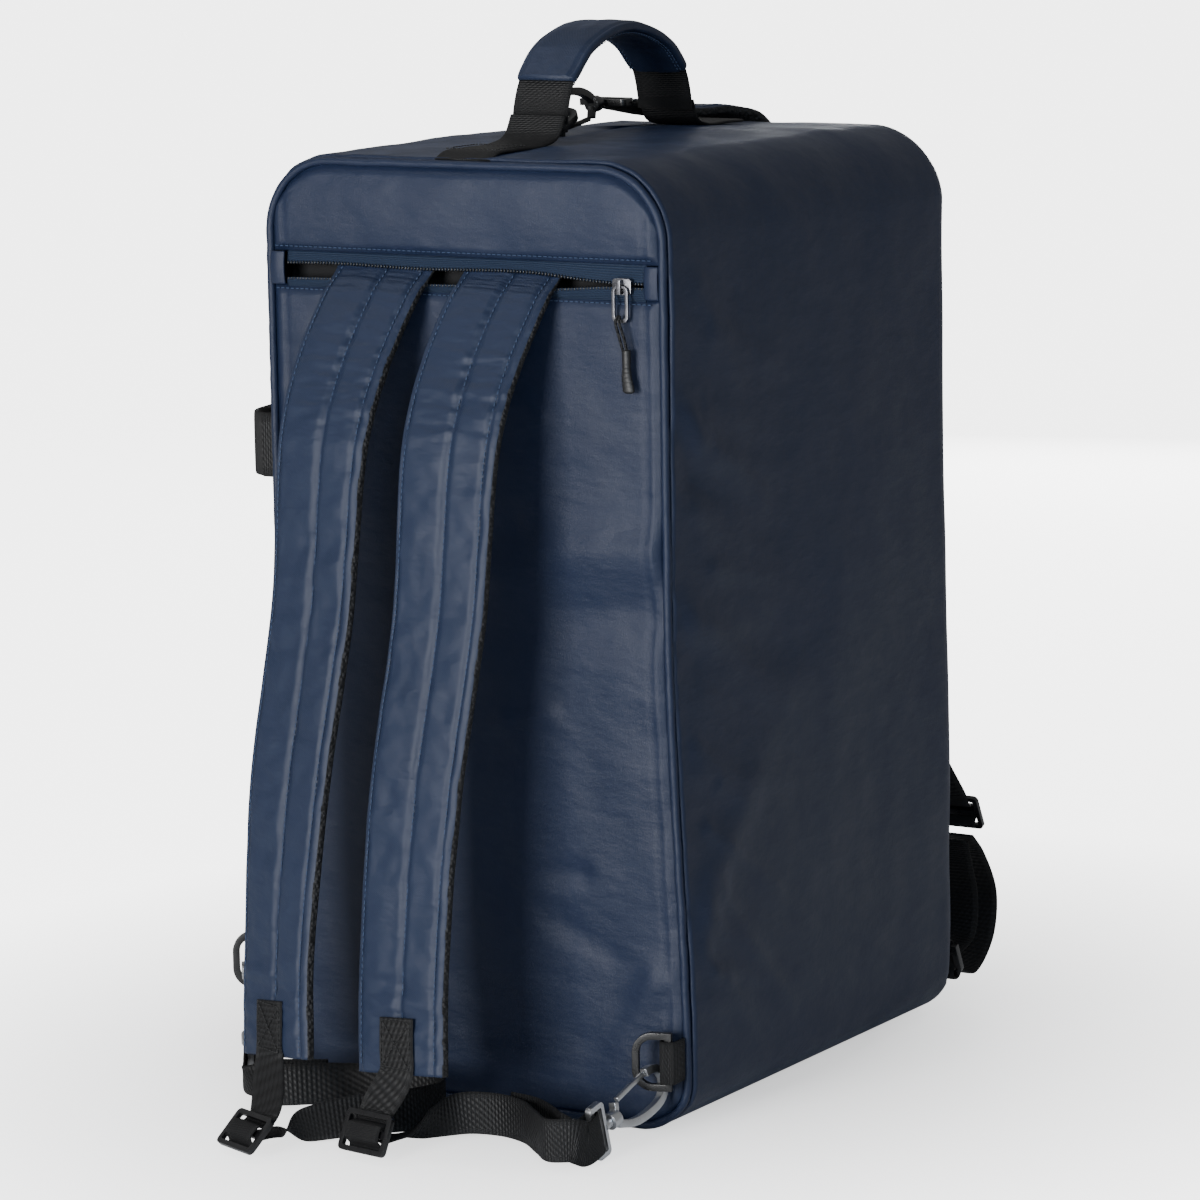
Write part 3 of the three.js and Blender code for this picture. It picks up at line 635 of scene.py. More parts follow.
def makeShell():
    left, low, right, high, corner = shell["opening"]
    sideRows, roundRows, faceRows, lipRows = 84, 9, 22, 3
    rows = sideRows + roundRows + faceRows + lipRows
    bend = frontY - shell["edge"]

    def place(u, v):
        row = v * rows
        if row <= sideRows:
            y = backY + 0.0035 + (bend - backY - 0.0035) * row / sideRows
            return skinPoint(u, 0, y)
        row -= sideRows
        if row <= roundRows:
            angle = math.pi / 2 * row / roundRows
            inset = shell["edge"] * (1 - math.cos(angle)) * 0.96
            return skinPoint(u, inset, bend + shell["edge"] * math.sin(angle))
        row -= roundRows
        outer = skinPoint(u, shell["edge"] * 0.96, frontY)
        x, z, nx, nz = outlinePoint(u, left, low, right, high, corner, corner)
        edge = Vector((x, frontY, z))
        if row <= faceRows:
            share = row / faceRows
            point = outer.lerp(edge, share)
            quiet = math.sin(math.pi * share)
            spot = Vector((point.x * 16, 5, point.z * 12))
            point.y += quiet * noise.noise(spot) * 0.0012
            return point
        row -= faceRows
        edge.y -= 0.0065 * row / lipRows
        return edge

    bm = gridMesh(shell["around"], rows, place, (1.586, 0.45))
    bmesh.ops.remove_doubles(bm, verts=bm.verts, dist=1e-6)
    body = finishMesh("bag_shell", bm, [navy, lining], "bag")
    wall = body.modifiers.new("wall", "SOLIDIFY")
    wall.thickness = 0.0026
    wall.offset = -1
    wall.material_offset = 1
    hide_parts("gusset_right", "gusset_left", "gusset_top", "gusset_bottom", "front_frame")


makeShell()
print("shell made")


# Back panel, yoke and piping

panel = {
    "side": 0.1312,
    "low": 0.0035,
    "zipLow": 0.4768,
    "zipHigh": 0.4958,
    "top": 0.5475,
    "lowRound": 0.021,
    "topRound": 0.041,
    "face": backY,
}


def cornerTrim(x, side, radius):
    over = abs(x) - (side - radius)
    if over <= 0:
        return 0.0
    return radius - math.sqrt(max(radius * radius - min(over, radius) ** 2, 0))


def backFolds():
    rng = random.Random(5)
    folds = []
    for index in range(14):
        start = Vector((rng.uniform(0.02, 0.13), rng.uniform(0.05, 0.44)))
        angle = math.radians(rng.uniform(150, 215))
        end = start + Vector((math.cos(angle), math.sin(angle))) * rng.uniform(0.03, 0.08)
        folds.append((start, end, rng.uniform(-0.0012, 0.0012), rng.uniform(0.006, 0.014)))
    folds.append((Vector((0.128, 0.335)), Vector((0.02, 0.322)), 0.0022, 0.014))
    folds.append((Vector((0.128, 0.300)), Vector((0.03, 0.285)), -0.0024, 0.016))
    folds.append((Vector((0.115, 0.09)), Vector((0.085, 0.03)), 0.002, 0.009))
    return folds


def makePanel(name, low, high, lowTrim, highTrim, puff, node, folds, rows):
    def place(u, v):
        x = panel["side"] * (2 * u - 1)
        bottom = low + cornerTrim(x, panel["side"], lowTrim) if lowTrim else low
        top = high - cornerTrim(x, panel["side"], highTrim) if highTrim else high
        z = bottom + (top - bottom) * v
        edge = min(x + panel["side"], panel["side"] - x, z - bottom, top - z)
        rise = smoothstep(0, 0.006, edge)
        crown = math.sin(math.pi * u) ** 0.5 * math.sin(math.pi * v) ** 0.6 if 0 < u < 1 and 0 < v < 1 else 0
        lift = puff * crown + rise * 0.0022
        ridge = min(x + panel["side"], panel["side"] - x)
        lift -= 0.0011 * math.exp(-((ridge - 0.0085) / 0.0013) ** 2)
        lift += 0.0008 * math.exp(-((ridge - 0.0062) / 0.0016) ** 2)
        foot = smoothstep(0.3, 0.03, z) * smoothstep(0.0, 0.03, z)
        wide = x + shell["footBulge"] * foot * smoothstep(0.03, panel["side"], x)
        spot = Vector((x * 11, 2.2, z * 8))
        lift += rise * (noise.noise(spot) * 0.0022 + noise.noise(spot * 3.3) * 0.0008)
        pucker = math.exp(-edge / 0.012)
        lift += noise.noise(Vector((x * 70, 6.1, z * 90))) * 0.0008 * pucker * rise
        lift += foldHeight(folds, x, z) * rise * 1.5
        return Vector((wide, panel["face"] + 0.0022 - lift, z))

    bm = gridMesh(110, rows, place, (0.262, high - low))
    piece = finishMesh(name, bm, [navy, lining], "bag")
    wall = piece.modifiers.new("wall", "SOLIDIFY")
    wall.thickness = 0.0016
    wall.offset = -1
    wall.material_offset = 1
    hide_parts(node)


def pipingPoint(u, inset):
    x, z, nx, nz = outlinePoint(u, -halfWidth + inset, inset, halfWidth - inset, bagTop - inset - 0.001,
                                shell["round"] - inset, shell["topRound"] - inset)
    return x, z, nx, nz


def makePiping(name, inset, radius, y, bump, nodes=()):
    def place(u, v):
        x, z, nx, nz = pipingPoint(v, inset)
        around = v * sum(outlineSpans)
        foot = smoothstep(0.3, 0.03, z) * smoothstep(0.0, 0.03, z)
        sway = max(nx, 0) * shell["footBulge"] * foot
        sway += noise.noise(Vector((around * 60, inset * 900, 1))) * bump
        thick = radius * (1 + 0.12 * noise.noise(Vector((around * 140, 4, inset * 500))))
        angle = 2 * math.pi * u
        out = math.cos(angle) * thick + sway
        depth = math.sin(angle) * thick
        return Vector((x + nx * out, y + depth, max(z + nz * out, 0.0)))

    bm = gridMesh(12, 520, place, (0.016, 1.586))
    bmesh.ops.remove_doubles(bm, verts=bm.verts, dist=1e-6)
    piece = finishMesh(name, bm, [navy], "bag")
    if nodes:
        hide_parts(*nodes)


makePanel("back_cloth", panel["low"], panel["zipLow"], panel["lowRound"], 0, 0.002,
          "back_panel", backFolds(), 200)
makePanel("yoke_cloth", panel["zipHigh"], panel["top"], 0, panel["topRound"], 0.0036,
          "back_yoke", [], 36)
makePiping("piping_back", 0.0024, 0.0024, backY + 0.0012, 0.0003, ["back_piping"])
makePiping("piping_gusset", 0.0012, 0.0013, backY + 0.0062, 0.0005)
print("back made")


# Padded backpack straps

strapLine = [
    (-161.6, 514, 0.35, -9, 0),
    (-162, 502, 0.4, -9, 0),
    (-170, 486.5, 0.5, -11, 0),
    (-183, 474, 0.9, -12, 0),
    (-206, 440, 1, -16, 2),
    (-226, 400, 1, -17, 6),
    (-240, 300, 1, -19, 12),
    (-256, 200, 1, -27, 14),
    (-270, 100, 1, -28, 21),
    (-279, 46, 1, -24, 21),
]
strap = {
    "width": 0.065,
    "thick": 0.0092,
    "spacing": 43,
    "seam": 0.06,
    "ridge": 0.8,
    "around": 132,
    "along": 300,
}


def strapRoute(side):
    stations = []
    for y, z, share, drift, turn in strapLine:
        angle = math.radians(turn if side < 0 else turn * 0.4)
        across = Vector((math.cos(angle), -math.sin(angle), 0))
        stations.append((mm(side * strap["spacing"] + drift, y, z), across, share))
    return makeRoute(stations)


def padOutline(u):
    # Crowned cloth face on one side, flatter mesh face on the other, soft upright edges.
    upper = u % 1.0 < 0.5
    share = (u % 1.0) * 4 - (1 if upper else 3)
    side = math.sin(math.pi / 2 * share) * (-1 if upper else 1)
    lift = max(1 - abs(side) ** 4.76, 0) ** 0.3
    return side, lift if upper else -lift


def makePad(name, route, width, thick, body, node, seed, seams, frontUp=1):
    length = routeLength(route)

    def place(u, v):
        at, tangent, across, normal, swell = curveFrame(route, v)
        side, lift = padOutline(u)
        along = v * length
        facing = lift * frontUp
        height = lift * thick / 2 * swell
        if facing > 0:
            grooves = sum(depth * math.exp(-((side - where) / wide) ** 2) for where, wide, depth in seams)
            ribs = noise.noise(Vector((side * 0.8, along * 105, seed)))
            ribs += 0.5 * noise.noise(Vector((side * 3, along * 210, seed + 4)))
            loose = smoothstep(0.0, 0.25, v) * (0.35 + 0.65 * smoothstep(0.3, 0.6, v))
            change = -grooves + ribs * 0.0017 * loose * (1 - abs(side) ** 6)
            height += frontUp * change * min(facing * 1.6, 1)
        sway = noise.noise(Vector((along * 14, seed, side * 0.6))) * 0.0012
        edge = noise.noise(Vector((along * 60, seed + 9, math.copysign(1, side)))) * 0.0004
        return at + across * (side * width / 2 + sway + edge) + normal * height

    bm = gridMesh(strap["around"], strap["along"], place, (2 * width, length))
    closeTube(bm)
    bmesh.ops.recalc_face_normals(bm, faces=bm.faces)
    paint(bm, route, width, frontUp)
    piece = finishMesh(name, bm, [navyPadding, spacerMesh], body)
    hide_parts(node)
    return piece


def paint(bm, route, width, frontUp):
    # Second material on the under side and the upright edges.
    samples = [curveFrame(route, i / 120) for i in range(121)]
    for face in bm.faces:
        middle = face.calc_center_median()
        nearest = min(samples, key=lambda entry: (entry[0] - middle).length_squared)
        at, across, normal = nearest[0], nearest[2], nearest[3]
        offset = middle - at
        rise = offset.dot(normal) * frontUp
        side = abs(offset.dot(across)) / (width / 2)
        if rise < 0.0002 or (side > 0.93 and face.normal.dot(normal) * frontUp < 0.72):
            face.material_index = 1


def seamLine(route, width, thick, where, lift, begin=0.0, end=1.0, steps=220):
    points = []
    for index in range(steps + 1):
        share = begin + (end - begin) * index / steps
        at, tangent, across, normal, swell = curveFrame(route, share)
        points.append(at + across * (where * width / 2) + normal * (thick / 2 * swell * lift))
    return points


def makeStraps():
    seams = [(strap["seam"], 0.07, 0.0021), (strap["ridge"], 0.05, 0.0012), (-0.9, 0.05, 0.0009)]
    for word, side in (("left", -1), ("right", 1)):
        route = strapRoute(side)
        makePad("strap_cushion_" + word, route, strap["width"], strap["thick"], "bag",
                "strap_pad_" + word, 3.7 * (side + 2), seams, -1)
        for index, (where, lift) in enumerate(((strap["seam"], 0.6), (strap["ridge"], 0.72), (-0.88, 0.74))):
            line = seamLine(route, strap["width"], strap["thick"], where, -lift, 0.1)
            stitches(f"strap_stitch_{word}_{index}", line, "bag", slotName="navy_padding")


makeStraps()
print("straps made")


# Webbing of the backpack straps, with their buckles, hooks and rings

# Height up the buckle and depth through it, in millimetres.
weave = [
    (15, -3.6), (9.6, -3.5), (7, -2.8), (5.5, 0), (4, 2.8), (1.6, 3.5),
    (-1.6, 3.5), (-4, 2.8), (-5.5, 0), (-7, -2.8), (-9.6, -3.5),
]
buckleUp = {"right": (0, 0.43, 0.9), "left": (0, 0.74, 0.67), "front": (0, -0.45, 0.89)}


def eyeTurn(word):
    # The webbing's turn round the bar of a hook's eye.
    joint = joints[f"hook_{word}_swivel"]
    at = Vector(joint["pos_m"])
    x = Vector(joint["axis"]).normalized()
    y = (unitZ - x * x.z).normalized()
    z = x.cross(y)
    near = [(-16, 3.6), (-9, 4), (-2.4, 3)]
    turn = near + [(-0.4, 0)] + [(along, -off) for along, off in reversed(near)]
    return [(at + x * along / 1000 + z * off / 1000, y) for along, off in turn]


def webRun(rows):
    return [(mm(*row[:3]), row[3] if len(row) > 3 else unitZ) for row in rows]


def wovenThrough(word):
    joint = joints[f"buckle_{word}_tilt"]
    across = Vector(joint["axis"]).normalized()
    up = Vector(buckleUp[word])
    up = (up - across * up.dot(across)).normalized()
    out = across.cross(up)
    at = Vector(joint["pos_m"])
    return [(at + up * height / 1000 + out * depth / 1000, across) for height, depth in weave]


def strapEnd(word, side):
    route = strapRoute(side)
    places, acrosses = route[:2]
    last, before = places[-1], places[-2]
    across = acrosses[-1]
    down = (last - before).normalized()
    face = down.cross(across).normalized()
    lift = strap["thick"] / 2 + 0.0015
    stations = [(last - down * height + face * lift, across) for height in (0.032, 0.016, 0)]
    stations += wovenThrough(word)
    band("strap_end_" + word, stations, webWidth, webThick, 150, nodes=["strap_web_" + word])
    patch = [last - down * height + face * (lift + 0.0011) for height in (0.03, 0.004)]
    half = across * 0.0105
    corners = [patch[0] - half, patch[0] + half, patch[1] + half, patch[1] - half]
    box = corners + [corners[0], corners[2], corners[3], corners[1]]
    points = [box[0]]
    for a, b in zip(box, box[1:]):
        points += [a.lerp(b, i / 6) for i in range(1, 7)]
    stitches("patch_stitch_" + word, points, "bag", 0.0026, 0.7, 0.0003)


adjusters = {
    "right": webRun([
        (6, -289.5, 9, unitX),
        (13, -276, 9, (0.95, 0.2, 0.2)),
        (20, -258, 12, (0.6, 0.1, 0.8)),
        (32, -240, 15.5, (0.05, 0, 1)),
        (52, -234, 16),
        (74, -241, 16.5),
        (94, -258, 17),
        (110, -271, 17.5),
        (124, -266, 17.8),
    ]) + eyeTurn("right") + webRun([
        (110, -257, 17.6),
        (98, -246, 17),
        (78, -232, 16.4),
        (58, -227, 16),
    ]),
    "left": webRun([
        (-60, -314.5, 9, unitX),
        (-52, -303, 9, (0.95, 0.25, 0.1)),
        (-36, -290, 13, (0.6, 0.2, 0.8)),
        (-14, -270, 16.5, (0.1, 0, 1)),
        (6, -250, 17),
        (14, -232, 18),
        (4, -219, 18),
        (-28, -216, 18),
        (-70, -226, 17),
        (-98, -240, 16),
    ]) + eyeTurn("left") + webRun([
        (-100, -228, 16),
        (-76, -216, 16),
    ]),
}


def makeStrapEnds():
    for word, side in (("left", -1), ("right", 1)):
        strapEnd(word, side)
        band("adjuster_" + word, adjusters[word], webWidth, webThick, 260, nodes=["adjuster_web_" + word])
        softened("slide_buckle_" + word, 0.0009, 3, blackPlastic)
        softened("d_ring_" + word, 0.0014, 4, blackPlastic)
        for part, width in (("hook_eye_", 0.0009), ("hook_body_", 0.0014), ("hook_gate_", 0.0008)):
            softened(part + word, width, 4, satinZinc)


makeStrapEnds()
print("strap ends made")


# Sewn tabs that hold the rings

tabs = {
    "right": ((137.5, -186, 46), unitZ, -unitY, 10.4),
    "left": ((-141, -182, 74), unitZ, -unitY, 6.4),
    "top": ((-44, -12, 559.2), unitX, unitZ, 6.7),
    "front": ((114, 180.5, 34), unitX, unitY, 7.2),
}


def makeTab(word):
    at, barWay, outward, footing = tabs[word]
    side = barWay.cross(outward)
    turn = 4.1
    bends = [(-1, 0.4), (-0.72, 0.72), (0, 1), (0.72, 0.72), (1, 0.4)]
    rows = [(-turn, -footing)] + [(a * turn, b * turn) for a, b in bends] + [(turn, -footing)]
    stations = [(mm(*at) + side * off / 1000 + outward * rise / 1000, barWay) for off, rise in rows]
    band("tab_" + word, stations, webWidth, 0.0015, 60, nodes=["ring_tab_" + word])


for word in tabs:
    makeTab(word)
softened("d_ring_top", 0.0014, 4, blackPlastic)
softened("d_ring_front", 0.0014, 4, blackPlastic)
for part, width in (("hook_eye_", 0.0009), ("hook_body_", 0.0014), ("hook_gate_", 0.0008)):
    softened(part + "top", width, 4, blackPlastic)
print("rings made")


# Grab handles

grabHandle = {
    "width": 0.038,
    "thick": 0.0022,
    "base": 554,
    "foot": 17,
    "sleeve": (0.041, 0.0075),
    "side": -137,
    "sideZ": 380,
}


def routeBand(name, rows, across, body, node, along):
    stations = [(mm(*row), across) for row in rows]
    return band(name, stations, grabHandle["width"], grabHandle["thick"], along, body, nodes=[node])


def makeTopHandle():
    base = grabHandle["base"]
    top = base + grabHandle["foot"]
    rear = [(0, -169.5, base - 3), (0, -160, base + 0.6), (0, -140, base + 1.2), (0, -112, base + 1.5),
            (0, -96, base + 5.5), (0, -88, top)]
    front = [(0, 58, top), (0, 63, base + 6), (0, 76, base + 1.6), (0, 100, base + 1.2), (0, 118, base + 0.8)]
    rearLap = -88 + 2.5
    frontLap = 58 - 2.5
    arch = [(0, rearLap, top - 5), (0, rearLap + 0.3, top + 2), (0, -77.5, base + 37), (0, -56, base + 55),
            (0, -14, base + 65), (0, 28, base + 54), (0, 48.5, base + 37), (0, frontLap - 0.3, top + 2),
            (0, frontLap, top - 5)]
    routeBand("handle_rear", rear, unitX, "bag", "handle_foot_rear", 60)
    routeBand("handle_front", front, unitX, "bag", "handle_foot_front", 60)
    routeBand("handle_arch", arch, unitX, "top_handle", "handle_web", 120)
    sleeve = makeRoute([(mm(x, y * 1.02, z), unitX) for x, y, z in arch[2:7]])
    width, thick = grabHandle["sleeve"]
    length = routeLength(sleeve)

    def place(u, v):
        at, tangent, across, normal, swell = curveFrame(sleeve, v)
        side, lift = padOutline(u)
        height = lift * thick / 2
        height *= 1 - 0.3 * math.exp(-((abs(side) - 0.86) / 0.05) ** 2)
        height += lift * noise.noise(Vector((side * 2, v * length * 70, 4))) * 0.0006
        pinch = 1 - 0.07 * math.exp(-min(v, 1 - v) * length / 0.004)
        return at + across * (side * width / 2 * pinch) + normal * height

    bm = gridMesh(56, 120, place, (2 * width, length))
    closeTube(bm)
    grip = finishMesh("handle_sleeve", bm, [navyPadding], "top_handle")
    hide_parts("handle_grip")
    for index, where in enumerate((-0.86, -0.76, 0.76, 0.86)):
        line = seamLine(sleeve, width, thick, where, -0.98)
        stitches(f"sleeve_stitch_{index}", line, "top_handle", 0.003, 0.66, 0.0003, "navy_cloth")
    patch = []
    corners = [(-17, -160), (17, -160), (17, -128), (-17, -128), (-17, -160)]
    for a, b in zip(corners, corners[1:]):
        run = [(a[0] + (b[0] - a[0]) * i / 8, a[1] + (b[1] - a[1]) * i / 8) for i in range(8)]
        patch += [mm(x, y, base + 2.9) for x, y in run]
    stitches("handle_patch_stitch", patch, "bag", 0.003, 0.66, 0.0003)


def makeSideHandle():
    base, z = grabHandle["side"], grabHandle["sideZ"]
    end = base - 10
    rearY, frontEnd = -164.8, 54
    rearLap, frontLap = rearY + 2.5, frontEnd - 2.5
    rear = [(base + 1.6, rearY, z), (base - 4, rearY, z), (end, rearY, z)]
    arch = [(end + 5, rearLap, z), (end - 1, rearLap, z), (base - 21, -156, z), (base - 28, -132, z),
            (base - 32, -84, z), (base - 31, -24, z), (base - 23, 26, z), (end - 3, frontLap - 1.5, z),
            (end + 5, frontLap, z)]
    front = [(end, frontEnd, z), (base - 4, frontEnd + 1.5, z), (base - 2.6, 63, z), (base - 2.8, 84, z)]
    routeBand("side_rear", rear, unitZ, "bag", "side_foot_rear", 16)
    routeBand("side_arch", arch, unitZ, "side_handle", "side_handle", 130)
    routeBand("side_front", front, unitZ, "bag", "side_foot_front", 40)


makeTopHandle()
makeSideHandle()
print("handles made")


# Stash zip

stashZip = {
    "upper": 0.4885,
    "lower": 0.4805,
    "upperFar": 0.4972,
    "lowerFar": 0.4752,
    "upperStitch": 0.4988,
    "lowerStitch": 0.4742,
    "slider": 0.108,
    "centre": 0.4841,
    "reach": 0.1212,
    "tooth": 0.0021,
}


def zipEdge(x, resting):
    close = smoothstep(0.045, stashZip["slider"] - 0.003, x)
    wave = math.sin(x * 55) * 0.0005 * (1 - close)
    gap = 0.0007 if resting > stashZip["centre"] else -0.0007
    return resting + (stashZip["centre"] + gap - resting) * close + wave


def makeStashZip():
    for name in ("upper", "lower"):
        edge, far, reach = stashZip[name], stashZip[name + "Far"], stashZip["reach"]

        def place(u, v):
            x = -reach + 2 * reach * u
            near = zipEdge(x, edge)
            rise = math.sin(math.pi * v) * 0.0007
            return Vector((x, backY + 0.0016 - rise + v * 0.0012, near + (far - near) * v))

        bm = gridMesh(160, 8, place, (0.24, 0.009))
        tape = finishMesh("zip_tape_" + name, bm, [zipTape], "bag")
        wall = tape.modifiers.new("wall", "SOLIDIFY")
        wall.thickness = 0.0009
        wall.offset = -1
        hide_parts("stash_zip_" + name)
        teeth = bmesh.new()
        count = int(2 * reach / stashZip["tooth"])
        way = 1 if far > edge else -1
        for index in range(count):
            x = -reach + (index + 0.5) * stashZip["tooth"]
            middle = Vector((x, backY + 0.0009, zipEdge(x, edge) + way * 0.0006))
            turn = Matrix.Rotation(math.radians(14), 4, "Y")
            spot = Matrix.Translation(middle) @ turn @ Matrix.Diagonal((0.8, 1.0, 1.6, 1))
            bmesh.ops.create_icosphere(teeth, subdivisions=1, radius=0.0008, matrix=spot)
        finishMesh("zip_coil_" + name, teeth, [blackPlastic], "bag")
        height = stashZip[name + "Stitch"]
        line = [Vector((-0.128 + 0.256 * i / 60, backY - 0.0006, height)) for i in range(61)]
        stitches("zip_stitch_" + name, line, "bag", 0.0034, 0.66, 0.0003, "zip_tape")
    for side, word in ((-1, "left"), (1, "right")):
        def placeEnd(u, v):
            x = side * (0.1215 + 0.0088 * u)
            puff = math.sin(math.pi * u) * 0.0009 + math.sin(math.pi * v) * 0.0009
            return Vector((x, backY - 0.0002 - puff, 0.4768 + 0.0188 * v))

        bm = gridMesh(14, 18, placeEnd, (0.009, 0.019))
        end = finishMesh("zip_end_" + word, bm, [navy], "bag")
        wall = end.modifiers.new("wall", "SOLIDIFY")
        wall.thickness = 0.0014
        wall.offset = -1
        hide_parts("stash_end_" + word)
    softened("stash_slider", 0.0008, 3, darkMetal)
    softened("stash_puller", 0.0004, 3, darkMetal)


makeStashZip()


def makePullGrip():
    low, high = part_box("pull_grip")
    top, foot = high.z, low.z
    centre = Vector(((low.x + high.x) / 2 - 0.001, (low.y + high.y) / 2, 0))

    def place(u, v):
        angle = 2 * math.pi * u
        z = top + (foot - top) * v
        bend = 0.0012 * smoothstep(0.55, 1.0, v)
        wide = 0.0026 + 0.0011 * smoothstep(0.35, 0.85, v)
        deep = 0.0022 - 0.0003 * v
        end = math.sqrt(max(1 - ((v - 0.93) / 0.07) ** 2, 0)) if v > 0.93 else 1
        start = math.sqrt(max(1 - ((0.04 - v) / 0.04) ** 2, 0)) if v < 0.04 else 1
        grip = 1 - 0.09 * (0.5 + 0.5 * math.sin(v * 60)) * smoothstep(0.3, 0.4, v) * smoothstep(0.9, 0.8, v)
        x = centre.x + bend + math.cos(angle) * wide * end * start * grip
        return Vector((x, centre.y + math.sin(angle) * deep * end * start * grip, z))

    bm = gridMesh(28, 70, place, (0.016, 0.025))
    closeTube(bm)
    grip = finishMesh("pull_grip_form", bm, [softRubber], "cord_pull")
    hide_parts("pull_grip")


makePullGrip()
print("stash zip made")


# Front lid and its zip

lid = {
    "left": -0.1105,
    "inset": 0.0092,
    "outer": 0.0012,
    "inner": 0.0051,
}


def makeLid():
    left, low, right, high, corner = shell["opening"]
    inset = lid["inset"]
    low, right, high = low + inset, right - inset - 0.0012, high - inset
    left = lid["left"]
    half = (right - left) / 2
    middle = (left + right) / 2

    def place(u, v):
        x = right + (left - right) * u
        trim = cornerTrim(x - middle, half, 0.021)
        bottom, top = low + trim, high - trim
        z = bottom + (top - bottom) * v
        edge = min(x - left, right - x, z - bottom, top - z)
        rise = smoothstep(0, 0.005, edge)
        lift = rise * 0.0018 + noise.noise(Vector((x * 12, 9, z * 9))) * 0.0012 * rise
        lift -= 0.0009 * math.exp(-((edge - 0.008) / 0.0012) ** 2)
        return Vector((x, frontY - 0.002 + lift, z))

    bm = gridMesh(80, 130, place, (0.195, 0.356))
    cloth = finishMesh("lid_cloth", bm, [navy, lining], "lid")
    wall = cloth.modifiers.new("wall", "SOLIDIFY")
    wall.thickness = 0.003
    wall.offset = -1
    wall.material_offset = 1
    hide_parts("front_lid")

    for name, body in (("outer", "bag"), ("inner", "lid")):
        outer = lid[name]
        edges = [value + outer for value in shell["opening"][:2]]
        edges += [value - outer for value in shell["opening"][2:4]]
        points = []
        for index in range(241):
            x, z, nx, nz = outlinePoint(index / 240, *edges, corner - outer, corner - outer)
            points.append((Vector((x, frontY - 0.0012, z)), Vector((-nx, 0, -nz))))
        points = [entry for entry in points if entry[0].x > shell["opening"][0] + 0.01]
        points.sort(key=lambda entry: zipOrder(entry[0]))
        route = makeRoute([(at + way * 0.0018, way) for at, way in points])
        bm = bandMesh(route, 0.0036, 0.0009, 240)
        tape = finishMesh("lid_zip_" + name, bm, [zipTape], body)
        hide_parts("main_zip_" + name)
        edgeWay = 1 if name == "outer" else -1
        coil = bmesh.new()
        count = int(routeLength(route) / 0.0026)
        for index in range(count):
            at, tangent, across, normal = curveFrame(route, (index + 0.5) / count)[:4]
            turn = Matrix((across, tangent, normal)).transposed().to_4x4()
            spot = Matrix.Translation(at + across * edgeWay * 0.0014 + unitY * 0.0006)
            bmesh.ops.create_icosphere(coil, subdivisions=1, radius=0.0009,
                                       matrix=spot @ turn @ Matrix.Diagonal((1.1, 0.8, 0.8, 1)))
        finishMesh("lid_coil_" + name, coil, [blackPlastic], body)
    softened("main_slider", 0.0006, 3, darkMetal)
    softened("main_pull", 0.0005, 3, softRubber)


def zipOrder(at):
    # Along the zip from its lower end, up the free edge, to its upper end.
    middle = (shell["opening"][1] + shell["opening"][3]) / 2
    return math.atan2(at.z - middle, at.x + 0.104)


makeLid()
print("lid made")


# Shoulder strap

shoulder = {"width": 0.046, "thick": 0.0075, "low": 117, "high": 91}


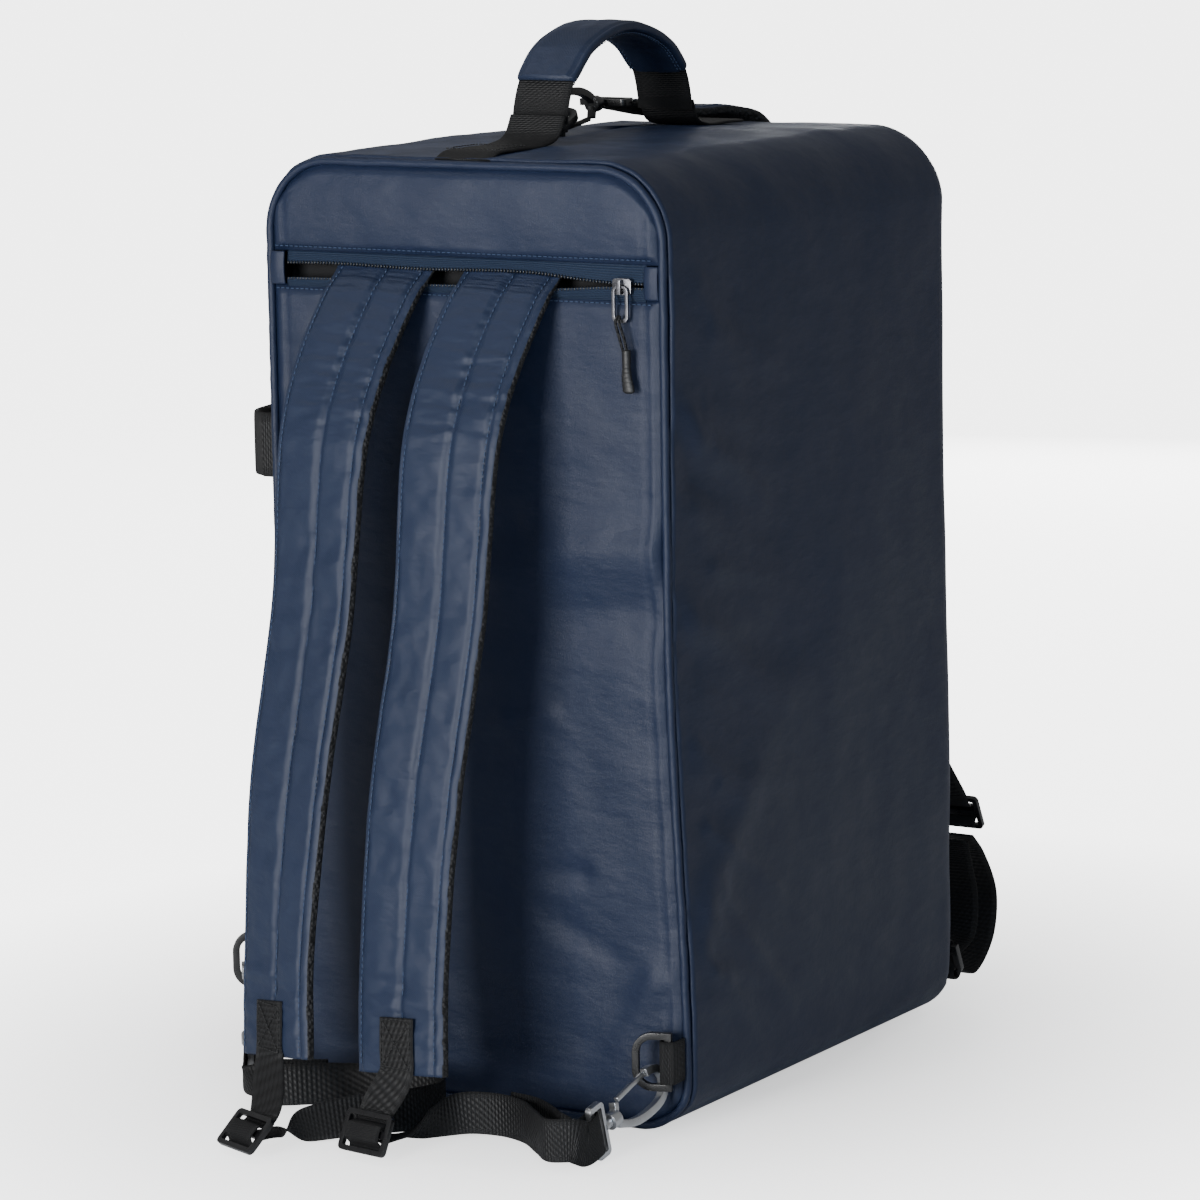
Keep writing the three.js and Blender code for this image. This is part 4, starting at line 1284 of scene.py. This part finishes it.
def makeShoulder():
    low, high = shoulder["low"], shoulder["high"]
    eyeX, eyeY, eyeZ = (value * 1000 for value in joints["hook_top_swivel"]["pos_m"])
    rows = [
        (eyeX, eyeY + 9, eyeZ - 1, unitX, 0.5),
        (eyeX, eyeY + 31, eyeZ - 4),
        (eyeX + 3, 126, 559),
        (-33, 158, 557),
        (-23, 178, 545, (0.98, 0, 0.2)),
        (-10, 181, 526, (0.8, 0, 0.6)),
        (18, 179.5, 504, (0.6, 0, 0.8)),
        (50, 179.5, 479, (0.64, 0, 0.77)),
        (75, 180, 450, (0.82, 0, 0.57)),
        (88, 180, 410, (0.97, 0, 0.2)),
        (high, 180, 370),
        (high, 180, 320, unitX, 0.6),
    ]
    stations = []
    for x, y, z, *rest in rows:
        across = rest[0] if rest else unitX
        swell = rest[1] if len(rest) > 1 else 1
        stations.append((mm(x, y, z), across, swell))
    route = makeRoute(stations)
    seams = [(-0.82, 0.05, 0.001), (0.82, 0.05, 0.001)]
    seams += [(side, 0.03, 0.0008) for side in (-0.5, -0.25, 0, 0.25, 0.5)]
    makePad("shoulder_cushion", route, shoulder["width"], shoulder["thick"], "bag",
            "shoulder_pad", 11.0, seams, 1)
    for index, where in enumerate((-0.82, 0.82)):
        line = seamLine(route, shoulder["width"], shoulder["thick"], where, 0.8)
        stitches(f"shoulder_stitch_{index}", line, "bag", slotName="navy_padding")

    upper = webRun([(high, 180, 319, unitX), (high + 2, 178, 260, unitX), (high + 8, 178, 200, unitX),
                    (high + 17, 184, 158, unitX)])
    upper += [(at, unitX) for at, unused in wovenThrough("front")]
    band("shoulder_upper", upper, webWidth, webThick, 160, nodes=["shoulder_web_upper"])

    down = Vector((0, 0.42, -0.91)).normalized()
    face = unitX.cross(down)
    hold = mm(low - 3, 180.5, 34) + down * 0.019
    turn = [(5.5, 4), (1.2, 5), (-3.2, 3.4), (-4.7, 0.2), (-3, -3.8), (0.6, -5.2), (5.5, -7.5)]
    lower = webRun([
        (low, 206, 101, unitX),
        (low, 221, 87, unitX),
        (low, 238, 58, unitX),
        (low, 233, 30, unitX),
        (low - 1, 211, 12, unitX),
    ])
    lower += [(hold + face * off / 1000 + down * far / 1000, unitX) for off, far in turn]
    lower += webRun([
        (low - 1, 209, 36, unitX),
        (low, 212, 60, unitX),
        (low, 204, 84, unitX),
        (low, 198.5, 99, unitX),
    ])
    band("shoulder_lower", lower, webWidth, webThick, 220, nodes=["shoulder_web_lower"])
    softened("slide_buckle_front", 0.0009, 3, blackPlastic)


makeShoulder()
print("shoulder strap made")


# Boards inside

def coverNode(node, material):
    # A carried-over CAD node takes the finished material.
    slots = bpy.data.objects[node].data.materials
    slots.clear()
    slots.append(material)


for node in ("back_board", "base_board"):
    coverNode(node, lining)


# Stage

def makeStage():
    bm = bmesh.new()
    bmesh.ops.create_grid(bm, x_segments=2, y_segments=2, size=60)
    mesh = bpy.data.meshes.new("floor")
    bm.to_mesh(mesh)
    bm.free()
    floor = bpy.data.objects.new("floor", mesh)
    scene.collection.objects.link(floor)
    floor.location.z = -0.0005

    def build(start, coords):
        # Painted contact shadow: seen from the camera the floor glows, less near the foot of the bag and more
        # away from it.
        x, y, z = coords.parts()
        away = start.maths("SQRT", x * x + y * y * 0.7)
        # far is 0 in the painted shadow at the bag's foot and 1 where the floor glows fully.
        far = ((away - 0.14) / 0.42).clamped(0, 1)
        return {
            "Base Color": blended(start, coords.noise(3, 2), (0.86, 0.86, 0.87), (0.9, 0.9, 0.9)),
            "Emission Strength": start.make("LightPath") * (0.9 + far * 3.3),
        }

    paper = shader("floorPaperPaintedShadow", build, Roughness=0.7, Emission_Color=(1, 1, 1, 1))
    mesh.materials.append(paper)
    world = bpy.data.worlds.new("studio")
    scene.world = world
    world.use_nodes = True
    tree = world.node_tree
    background = tree.nodes["Background"]
    background.inputs["Color"].default_value = (1, 1, 1, 1)
    wire = Wire(tree)
    seen = wire.make("LightPath")
    wire.feed(background.inputs["Strength"], seen * 12 + 0.3)
    areaLight("key", (-0.1, -3.3, 0.75), (0, 0, 0.25), (1.2, 1.0), 125, (1, 1, 1))
    areaLight("side", (2.0, -2.6, 1.4), (0, 0, 0.4), (0.6, 1.2), 31, (0.66, 0.82, 1))
    areaLight("back", (-0.9, 2.6, 0.5), (-0.1, 0, 0.2), (0.8, 0.6), 15, (1, 1, 1))
    areaLight("above", (-1.2, -0.4, 2.4), (0, 0, 0.3), (0.7, 0.7), 7, (1, 1, 1))


makeStage()
print("stage made")
